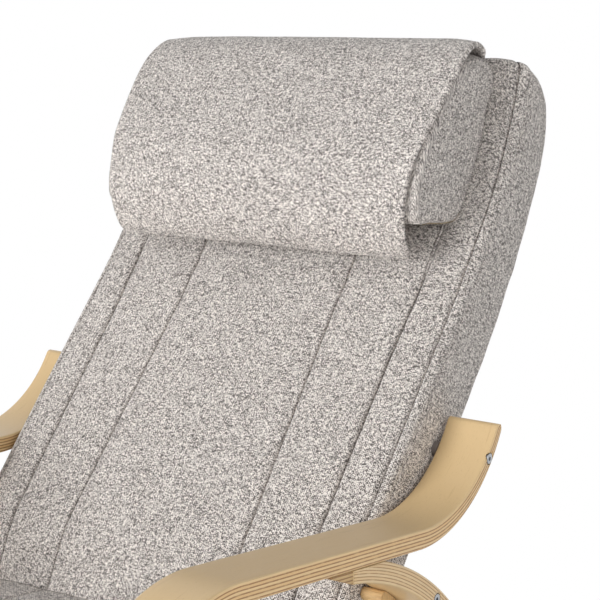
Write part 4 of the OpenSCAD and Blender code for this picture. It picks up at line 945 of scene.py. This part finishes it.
def head_pillow():
    rows, uvs = [], []
    turns = np.radians((0, 12, 24, 36, 50, 64, 78, 90))
    half = [(PILLOW_HALF - 12 * (1 - math.cos(a)), 12 * (1 - math.sin(a)) / 2) for a in turns]
    xs = [(-x, end) for x, end in half] + [(x, 0.0) for x in np.linspace(-203, 203, 56)] + half[::-1]
    for x, end in xs:
        ring = pillow_ring(x, end)
        out = ring - ring.mean(0)
        out /= np.linalg.norm(out, axis=1)[:, None]
        bulge = 1.1 * soft_noise(ring[:, 1], x, 52.0, 51)
        bulge += 0.4 * soft_noise(ring[:, 0] + x, ring[:, 1], 20.0, 52)
        bulge = bulge * smooth((ring[:, 1] - 545) / 30)
        ring = ring + out * (bulge * (1 - end / 12))[:, None]
        rows.append(back_at(x, ring[:, 0], ring[:, 1]))
        d = lengths(looped(ring))
        uvs.append(np.stack([np.full(len(d), x), d], -1) * MM)
    for way, row in ((-1, rows[0]), (1, rows[-1])):
        mid = row.mean(0)
        extra, extra_uv = [], []
        for share, rise in ((0.985, 0.3), (0.94, 1.1), (0.85, 1.9), (0.7, 2.5), (0.5, 2.9), (0.28, 3.1),
                            (0.08, 3.2)):
            drawn = mid + (row - mid) * share
            drawn[:, 0] = row[:, 0] + way * rise
            extra.append(drawn)
            extra_uv.append(looped(drawn)[:, 1:] * MM + [0.4 * way, 0])
        if way < 0:
            rows, uvs = extra[::-1] + rows, extra_uv[::-1] + uvs
        else:
            rows, uvs = rows + extra, uvs + extra_uv
    return grid("pillow", rows, uvs, [fabric])


pillow = head_pillow()
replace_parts(pillow, "head_pillow")
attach(pillow, "headrest")
for hand, sign in HANDS:
    for part, x, end, size in (("outer", 218.6, 3.2, 1.3), ("inner", 214.2, 1.3, 1.0)):
        ring = pillow_ring(x, end)[3:28]
        line = back_at(sign * x, ring[:, 0], ring[:, 1])
        cord = tube(f"pillow_piping_{part}_{hand}", line, size, piping_tan, 8)
        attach(cord, "headrest")


# Flap over the pillow: one cloth from behind the pillow, over its top and down its face
# Each row: shares of the flap's reach forward, of its drop and of the pillow's half width
FLAP = [(0.62, 0.004, 0.99), (0.745, 0.03, 0.995), (0.86, 0.087, 1), (0.944, 0.174, 1.006),
        (0.982, 0.272, 1.009), (1, 0.423, 0.995), (1, 0.574, 0.975), (0.991, 0.668, 0.96),
        (0.935, 0.755, 0.945), (0.85, 0.838, 0.938), (0.729, 0.906, 0.932), (0.58, 0.958, 0.927),
        (0.43, 0.989, 0.924), (0.3, 1, 0.923)]
FLAP_REACH, FLAP_LOW, FLAP_OFF = 107.0, 487.0, 7.05


def flap_line(x):
    """The cloth's middle line at a place across it: m, s and half width."""
    tail = [(float(front_m(x, s)) - FLAP_OFF, s, w) for s, w in (
        (600, 202.0), (632, 202.0), (664, 202.0), (696, 202.5), (718, 203.0), (733, 204.0), (745, 206.0))]
    rise = mix(float(front_m(0, 745)) - FLAP_OFF, HINGE_M, 0.45)
    turn = [(rise, HINGE_S, 210.0), (HINGE_M, HINGE_S, 216.0)]
    front = [(-FLAP_REACH * a, mix(HINGE_S, FLAP_LOW, b), PILLOW_HALF * c) for a, b, c in FLAP]
    return np.array(tail + turn + front)


def flap():
    share = np.concatenate([[0, 0.0012, 0.0035], np.linspace(0, 1, 150)[1:-1], [0.9965, 0.9988, 1.0]])
    outer, inner, uv_o = [], [], []
    hinge, edge_r = 64, 3.25
    for t in np.linspace(-1, 1, 121):
        line = spline(flap_line(t * 216), 8)
        d = lengths(line[:, :2])
        at = share * d[-1]
        m, s, w = (np.interp(at, d, line[:, i]) for i in range(3))
        dm, ds = np.gradient(m), np.gradient(s)
        norm = np.hypot(dm, ds)
        nm, ns = -ds / norm, dm / norm
        from_end = d[-1] - at
        w = w - round_in(11 - from_end, 11) - round_in(9 - at, 9)
        end = np.clip(np.minimum(from_end, at) / 3.0, 0, 1)
        thin = edge_r * np.sqrt(np.clip(1 - (1 - end) ** 2, 0.05, 1))
        x = t * w
        s = s - droop(x, s, m)
        over = at - d[hinge]
        away = [np.abs(((x + way * over) / QUILT + 0.5) % 1 - 0.5) * QUILT for way in (1, -1)]
        fade = np.exp(-((over / 75) ** 2)) * np.minimum(1, (w - np.abs(x)) / 20)
        quilt = 3.2 * (1 - np.exp(-np.minimum(*away) / 6.0)) * fade - 1.5 * fade
        wave = 1.1 * soft_noise(x, at, 95.0, 61) + 0.45 * soft_noise(x, at, 38.0, 62)
        wave = wave * np.minimum(1, over.clip(0) / 60)
        for side, depth in ((outer, thin + quilt + wave), (inner, wave - thin)):
            side.append((x, m + nm * depth, s + ns * depth))
        uv_o.append((x * MM, over * MM))
    rows, uvs = [], []
    for o, i, uv in zip(*(np.array(v).transpose(2, 0, 1) for v in (outer, inner, uv_o))):
        edge = []
        for a, b, sgn in ((o[-1], i[-1], 1), (i[0], o[0], -1)):
            edge.append([])
            for q in (0.2, 0.5, 0.8):
                out = sgn * np.linalg.norm(a - b) / 2 * 0.8 * math.sqrt(1 - (2 * q - 1) ** 2)
                edge[-1].append(mix(a, b, q) + [out, 0, 0])
        ring = np.concatenate([o, edge[0], i[::-1], edge[1]])
        rows.append(back_at(*ring.T))
        after = [uv[-1] + [0.001 * (j + 1), 0] for j in range(3)]
        before = [uv[0] - [0.001 * (3 - j), 0] for j in range(3)]
        uvs.append(np.concatenate([uv, after, uv[::-1], before, uv[:1]]))
    return grid("flap", rows, uvs, [fabric], flip=True)


flap_cloth = flap()
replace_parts(flap_cloth, "flap_tail", "flap_front")
end = back_at(0, -78, 748) * MM
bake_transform(flap_cloth)


def sheet_of(name, outer, inner, uv, mat):
    """A thin closed cloth between two grids of points. Both long edges bend towards its first column."""
    rows, uvs = [], []
    for o, i, w in zip(outer, inner, uv):
        away = (o[0] - o[-1]) / np.linalg.norm(o[-1] - o[0])
        edges = []
        for a, b in ((o[-1], i[-1]), (i[0], o[0])):
            bend = away * np.linalg.norm(a - b) * 0.4
            edges.append([mix(a, b, q) + bend * math.sqrt(1 - (2 * q - 1) ** 2) for q in (0.25, 0.75)])
        rows.append(np.concatenate([o, edges[0], i[::-1], edges[1]]))
        uvs.append(np.concatenate([w, [w[-1]] * 2, w[::-1], [w[0]] * 2, w[:1]]))
    return grid(name, rows, uvs, [mat], flip=True)


# Rear lining: one cloth stretched over the opening in the back, folded under and stapled along its edge
black_cloth = cloth("black_lining", (54, 54, 57), (28, 28, 30), contrast=0.7)
steel_wire = metal("staple_wire", (190, 192, 196), 0.3)


def lining_depth(x, s):
    """Where the lining lies behind the back: sunk inside its hem and pulled at its edge."""
    from_side, from_low = LINING_HALF + 0.5 - np.abs(x), s - LINING_LOW + 0.5
    from_edge = np.minimum(np.minimum(from_side, from_low), LINING_TOP + 1 - s)
    sink = 3.0 * smooth((from_edge - 11) / 42)
    hem = 1.0 * (1 - smooth((from_edge - 13) / 2.4))
    pull = soft_noise(x * 0.25, s, 26.0, 71) * 0.9 + soft_noise(x, s * 0.25, 26.0, 72) * 0.9
    near = np.exp(-((from_edge - 20) / 26) ** 2)
    pull = pull * (0.35 + 0.65 * near) * np.minimum(1, from_edge / 12)
    slack = 1.0 * soft_noise(x, s, 120.0, 73) * np.minimum(1, from_edge / 60)
    return rear_bow(s) + 1.3 - sink + hem + pull + slack - np.maximum(0, s - 690) * 0.05


def rear_lining():
    near = np.array([0, 1.2, 3, 6, 9, 12, 13.5, 15, 17])
    xs = np.concatenate([near - LINING_HALF, np.linspace(-211, 211, 74), LINING_HALF - near[::-1]])
    ss = np.concatenate([LINING_LOW + near, np.linspace(-14, 674, 118), LINING_TOP - near[::-1]])
    x, s = np.meshgrid(xs, ss)
    m = lining_depth(x, s)
    outer, inner = back_at(x, m, s), back_at(x, m - 1.3, s)
    return sheet_of("rear_lining", outer, inner, np.stack([x, s], -1) * MM, black_cloth)


lining = rear_lining()
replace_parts(lining, "rear_cover")
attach(lining, "chair")
corners = [(-229, -28), (229, -28), (229, 688), (-229, 688)]
for k, (x0, s0) in enumerate(corners):
    x1, s1 = corners[(k + 1) % 4]
    q = np.linspace(0, 1, 40)
    x, s = mix(x0, x1, q), mix(s0, s1, q)
    line = back_at(x, lining_depth(x, s) - 0.1, s)
    row = stitches(f"lining_staples_{k}", line, -FORWARD, steel_wire, pitch=42.0, length=10.0, radius=0.45)
    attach(row, "chair")


# Webbing under the seat cushion
web_cloth = cloth("seat_webbing_weave", (58, 58, 60), (30, 30, 32), contrast=0.5)


def web_straps():
    verts, faces, uvs = [], [], []
    xs = np.linspace(-230, 230, 70)
    across = np.array([-25, -24.6, -23.5, -22] + list(np.linspace(-19, 19, 12)) + [22, 23.5, 24.6, 25])
    rib = 0.16 * np.cos(across * 2 * math.pi / 4.2) * (np.abs(across) < 22) + 0.12 * (np.abs(across) > 22)
    ring = [(y, -63.15 + h) for y, h in zip(across, rib)]
    ring += [(y, -64.85 + h) for y, h in zip(across[::-1], rib[::-1])]
    n = len(ring)
    for k, (share, free) in enumerate(((0.24, 0), (0.38, 1), (0.52, 0), (0.66, 1), (0.84, 1))):
        base = len(verts)
        for x, low in zip(xs, 1.6 * free * np.clip(1 - (xs / 206) ** 2, 0, 1)):
            verts += [seat_at(x, y - share * SEAT_LEN, z - low) for y, z in ring]
        quads = [[(i, j), (i, (j + 1) % n), (i + 1, (j + 1) % n), (i + 1, j)]
                 for i in range(len(xs) - 1) for j in range(n)]
        ends = [[(i, j) for j in order] for i, order in ((0, range(n - 1, -1, -1)), (len(xs) - 1, range(n)))]
        for face in quads + ends:
            faces.append([base + i * n + j for i, j in face])
            uvs += [(xs[i] * MM, (ring[j][0] + 60 * k) * MM) for i, j in face]
    return finish_mesh("web_straps", verts, faces, [web_cloth], uvs)


straps = web_straps()
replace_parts(straps, "seat_webbing")
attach(straps, "chair")


# Handset pocket: an open cloth pocket on the side of the seat, with a hemmed and stitched mouth
POCKET_POINTS = 96
POCKET_MID = np.array([-275.0, -212.5])


def rounded_box(x0, x1, y0, y1, radius):
    pts = []
    for cx, cy, a0 in ((x1 - radius, y1 - radius, 0), (x0 + radius, y1 - radius, 90),
                       (x0 + radius, y0 + radius, 180), (x1 - radius, y0 + radius, 270)):
        pts.extend(ring_points(cx, cy, radius, a0, a0 + 90, 7))
    ring = looped(np.array(pts))
    return resample(ring, np.linspace(0, lengths(ring)[-1], POCKET_POINTS + 1)[:-1])


def cloth_pocket():
    full_o = rounded_box(-291.4, -258.6, -255, -170, 7)
    full_i = rounded_box(-289.0, -261.0, -252.6, -172.4, 5)
    away = (full_o - POCKET_MID) / np.linalg.norm(full_o - POCKET_MID, axis=1)[:, None]
    rings = [(POCKET_MID + (full_o - POCKET_MID) * share, 347.5 + up)
             for share, up in ((0.05, 0.0), (0.55, 0.0), (0.82, 0.2), (0.93, 1.0), (0.985, 2.8))]
    for z in (353, 358, 364, 370, 376, 382, 388, 394, 400, 405, 408.5, 409.6, 410.6, 412, 416, 420, 421.6,
              422.3):
        q = (z - 353) / 70
        wave = soft_noise(np.arange(POCKET_POINTS) * 2.4, z, 26.0, 81) * 0.8
        wave = wave * math.sin(math.pi * min(1, q + 0.1))
        swell = (1.0 * math.sin(math.pi * q) + wave) * (full_o[:, 0] < -262)
        hem = -0.7 if z == 409.6 else 0.9 if z > 410 else 0.0
        roll = 0.8 * max(0, z - 420) / 2.3
        rings.append((full_o + away * np.minimum(swell + hem - roll, 2.2)[:, None], z))
    rings += [(full_i, z) for z in (421.9, 420, 412, 400, 385, 370, 356)]
    rings += [(POCKET_MID + (full_i - POCKET_MID) * share, z)
              for share, z in ((0.97, 351.5), (0.9, 350.2), (0.5, 350.0), (0.05, 350.0))]
    rows = np.array([np.concatenate([ring, np.full((POCKET_POINTS, 1), float(z))], 1) for ring, z in rings])
    steps = np.linalg.norm(np.diff(rows, axis=0), axis=2).mean(1)
    down = np.concatenate([[0], np.cumsum(steps)])[:, None]
    uv = np.stack(np.broadcast_arrays(lengths(looped(full_o)), down), -1) * MM
    return grid("cloth_pocket", rows, uv, [fabric])


pocket = cloth_pocket()
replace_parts(pocket, "handset_pocket")
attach(pocket, "chair")
rim = rounded_box(-291.9, -258.8, -255.5, -169.5, 7)
rim = np.concatenate([rim, np.full((POCKET_POINTS, 1), 412.6)], 1)[rim[:, 0] < -262]
rim_out = rim - [*POCKET_MID, 412.6]
rim_out /= np.linalg.norm(rim_out, axis=1)[:, None]
hem_row = stitches("pocket_stitches", rim + rim_out * 0.5, rim_out, thread, pitch=3.4, length=2.4, radius=0.3)
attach(hem_row, "chair")


# Short cord of piping where the outer seam comes out from under the pillow
s = np.linspace(556, 486, 40)
x = seam_b(s) + 0.4
m = front_m(x, s) - 1.0 + 2.2 * smooth((520 - s) / 34)
for hand, sign in HANDS:
    ridge = tube(f"seam_piping_{hand}", back_at(sign * x, m, s), 1.7, fabric, 8)
    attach(ridge, "chair")

# Topstitching along the middle panel's seams
s = np.linspace(-20, 690, 400)
for hand, sign in HANDS:
    x = sign * (seam_a(s) + 0.2)
    line = back_at(x, back_face(x, s) - 0.2, s)
    row = stitches(f"back_topstitch_{hand}", line, FORWARD, thread, pitch=4.4, length=2.8, radius=0.34)
    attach(row, "chair")

# Painted shade: dark cords in the sewing thread's colour, laid deep in the outer seams so that the seams'
# shadow shows as crisp dark lines
s = np.linspace(-20, 700, 400)
for hand, sign in HANDS:
    for part, x in (("outer", seam_b(s)), ("edge", np.full(len(s), CORNER))):
        line = back_at(sign * x, back_face(x, s) - 1.3, s)
        cord = tube(f"seam_shade_cord_{part}_{hand}", line, 0.85, thread, 6)
        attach(cord, "chair")


# Materials on the solid parts
def dress(names, mat, bevel=0.0):
    for name in names:
        obj = cad[name]
        obj.data.materials.clear()
        obj.data.materials.append(mat)
        if bevel:
            soften(obj, bevel)


rubber = plastic("rubber", (38, 38, 39), 0.8, 900.0, 0.5)
black = plastic("black_plastic", (30, 30, 32), 0.5)
dark = plastic("dark_plastic", (46, 46, 49), 0.4)
steel = metal("satin_steel", (176, 178, 182), 0.38)
ground = metal("ground_steel", (205, 206, 209), 0.22)
bronze_mat = metal("sintered_bronze", (190, 150, 90), 0.5)
dress(["front_cross_rail", "lower_cross_rail", "seat_side_rails", "seat_cross_rails", "back_side_rails",
       "back_cross_rails"], rail_mat, 1.2)
dress(["frame_bolts", "barrel_nuts", "frame_screws", "elbow_brackets"], zinc, 0.25)
dress(["spacer_sleeves"], plastic("sleeve_plastic", (112, 104, 100), 0.6), 0.3)
dress(["mechanism_pan", "lift_motor", "knead_motor", "vibration_motor", "vibration_weight",
       "carriage_plate"], steel, 0.3)
dress(["guide_rods", "lead_screw", "screw_bearings"], ground, 0.2)
dress(["carriage_bushes", "lead_nut"], bronze_mat, 0.2)
dress(["rest_pads"], rubber)
dress(["wiring_leads", "limit_switches"], black, 0.15)
dress(["lift_gearbox", "knead_gearbox", "control_box", "control_lid", "power_inlet"], black, 0.5)
dress(["handset_back", "handset_front"], dark, 0.8)
dress(["knead_disc_left", "knead_disc_right", "knead_heads_left", "knead_heads_right"],
      plastic("white_plastic", (214, 214, 208), 0.35), 0.3)
dress(["control_board", "handset_board"], plastic("board", (36, 88, 52), 0.4))
dress(["heater_pad"], plastic("heater_felt", (120, 56, 50), 0.9, 600.0, 0.6))
dress(["power_switch", "button_power"], plastic("red_plastic", (176, 34, 28), 0.35), 0.3)
dress(["button_massage", "button_zone"], plastic("grey_key", (176, 176, 178), 0.45), 0.3)
dress(["button_heat"], plastic("amber_key", (214, 142, 50), 0.45), 0.3)


# Floor, lights and camera
def floor():
    """A pale floor that keeps the shadow round the chair and turns plain white further out."""
    n = Nodes("pale_floor")
    place = n.own_place()
    cols = n.ramp(n.noise(place, 1.3, 3.0), [(0.3, colour(250, 250, 250)), (0.7, WHITE)])
    n.set(Base_Color=cols, Roughness=0.9, Specular_IOR_Level=0.1)
    reach = n.add("ShaderNodeVectorMath", {0: place}, operation="LENGTH").outputs["Value"]
    away = n.ramp(n.math("DIVIDE", reach, 2.0), [(0.33, 0.0), (0.50, 1.0)])
    white = n.add("ShaderNodeEmission", {"Color": WHITE, "Strength": 1.0})
    pick = n.add("ShaderNodeMixShader", {0: n.times(away, n.backdrop_rays()), 1: n.shader, 2: white})
    n.put(n.tree.nodes["Material Output"].inputs[0], pick)
    far = 12
    corners = [(-far, -far, 0), (far, -far, 0), (far, far, 0), (-far, far, 0)]
    mesh = bpy.data.meshes.new("floor")
    mesh.from_pydata(corners, [], [(0, 1, 2, 3)])
    mesh.materials.append(n.mat)
    placed("floor", mesh)


def world():
    """Even light from all round, and a white backdrop where it can be seen."""
    sky = bpy.data.worlds.new("studio")
    bpy.context.scene.world = sky
    n = Nodes(world=sky)
    n.set(Color=WHITE, Strength=0.41)
    white = n.add("ShaderNodeBackground", {"Color": WHITE, "Strength": 1.0})
    pick = n.add("ShaderNodeMixShader", {0: n.backdrop_rays(), 1: n.shader, 2: white})
    n.put(n.tree.nodes["World Output"].inputs[0], pick)


def lamp(name, place, target, size, watts):
    data = bpy.data.lights.new(name, "AREA")
    data.shape, data.size, data.energy = "DISK", size, watts
    obj = placed(name, data)
    obj.location = place
    obj.rotation_mode = "QUATERNION"
    obj.rotation_quaternion = (Vector(target) - Vector(place)).to_track_quat("-Z", "Y")


floor()
world()
lamp("key", (-1.0, -3.0, 1.15), (0, 0.1, 0.6), 1.6, 76)
lamp("fill", (2.6, -1.2, 1.5), (0, 0, 0.6), 1.8, 21)
lamp("rim", (0.6, 2.4, 2.4), (0, 0.1, 0.6), 1.6, 4)

camera = bpy.data.cameras.new("photo_view")
camera.lens, camera.sensor_width, camera.sensor_fit = 91.66, 36.0, "AUTO"
eye = placed("photo_view", camera)
turn, tilt, roll = math.radians(34.996), math.radians(10.4316), math.radians(-0.105)
level = Vector((-math.sin(turn), math.cos(turn), 0)) * math.cos(tilt)
ahead = level - Vector((0, 0, math.sin(tilt)))
right = Vector((math.cos(turn), math.sin(turn), 0))
upward = right.cross(ahead)
axes = Matrix((right * math.cos(roll) + upward * math.sin(roll),
               upward * math.cos(roll) - right * math.sin(roll), -ahead))
eye.matrix_world = Matrix.Translation((1.0438, -1.1456, 1.0414)) @ axes.transposed().to_4x4()
bpy.context.scene.camera = eye
bpy.context.scene.view_settings.view_transform = "Standard"
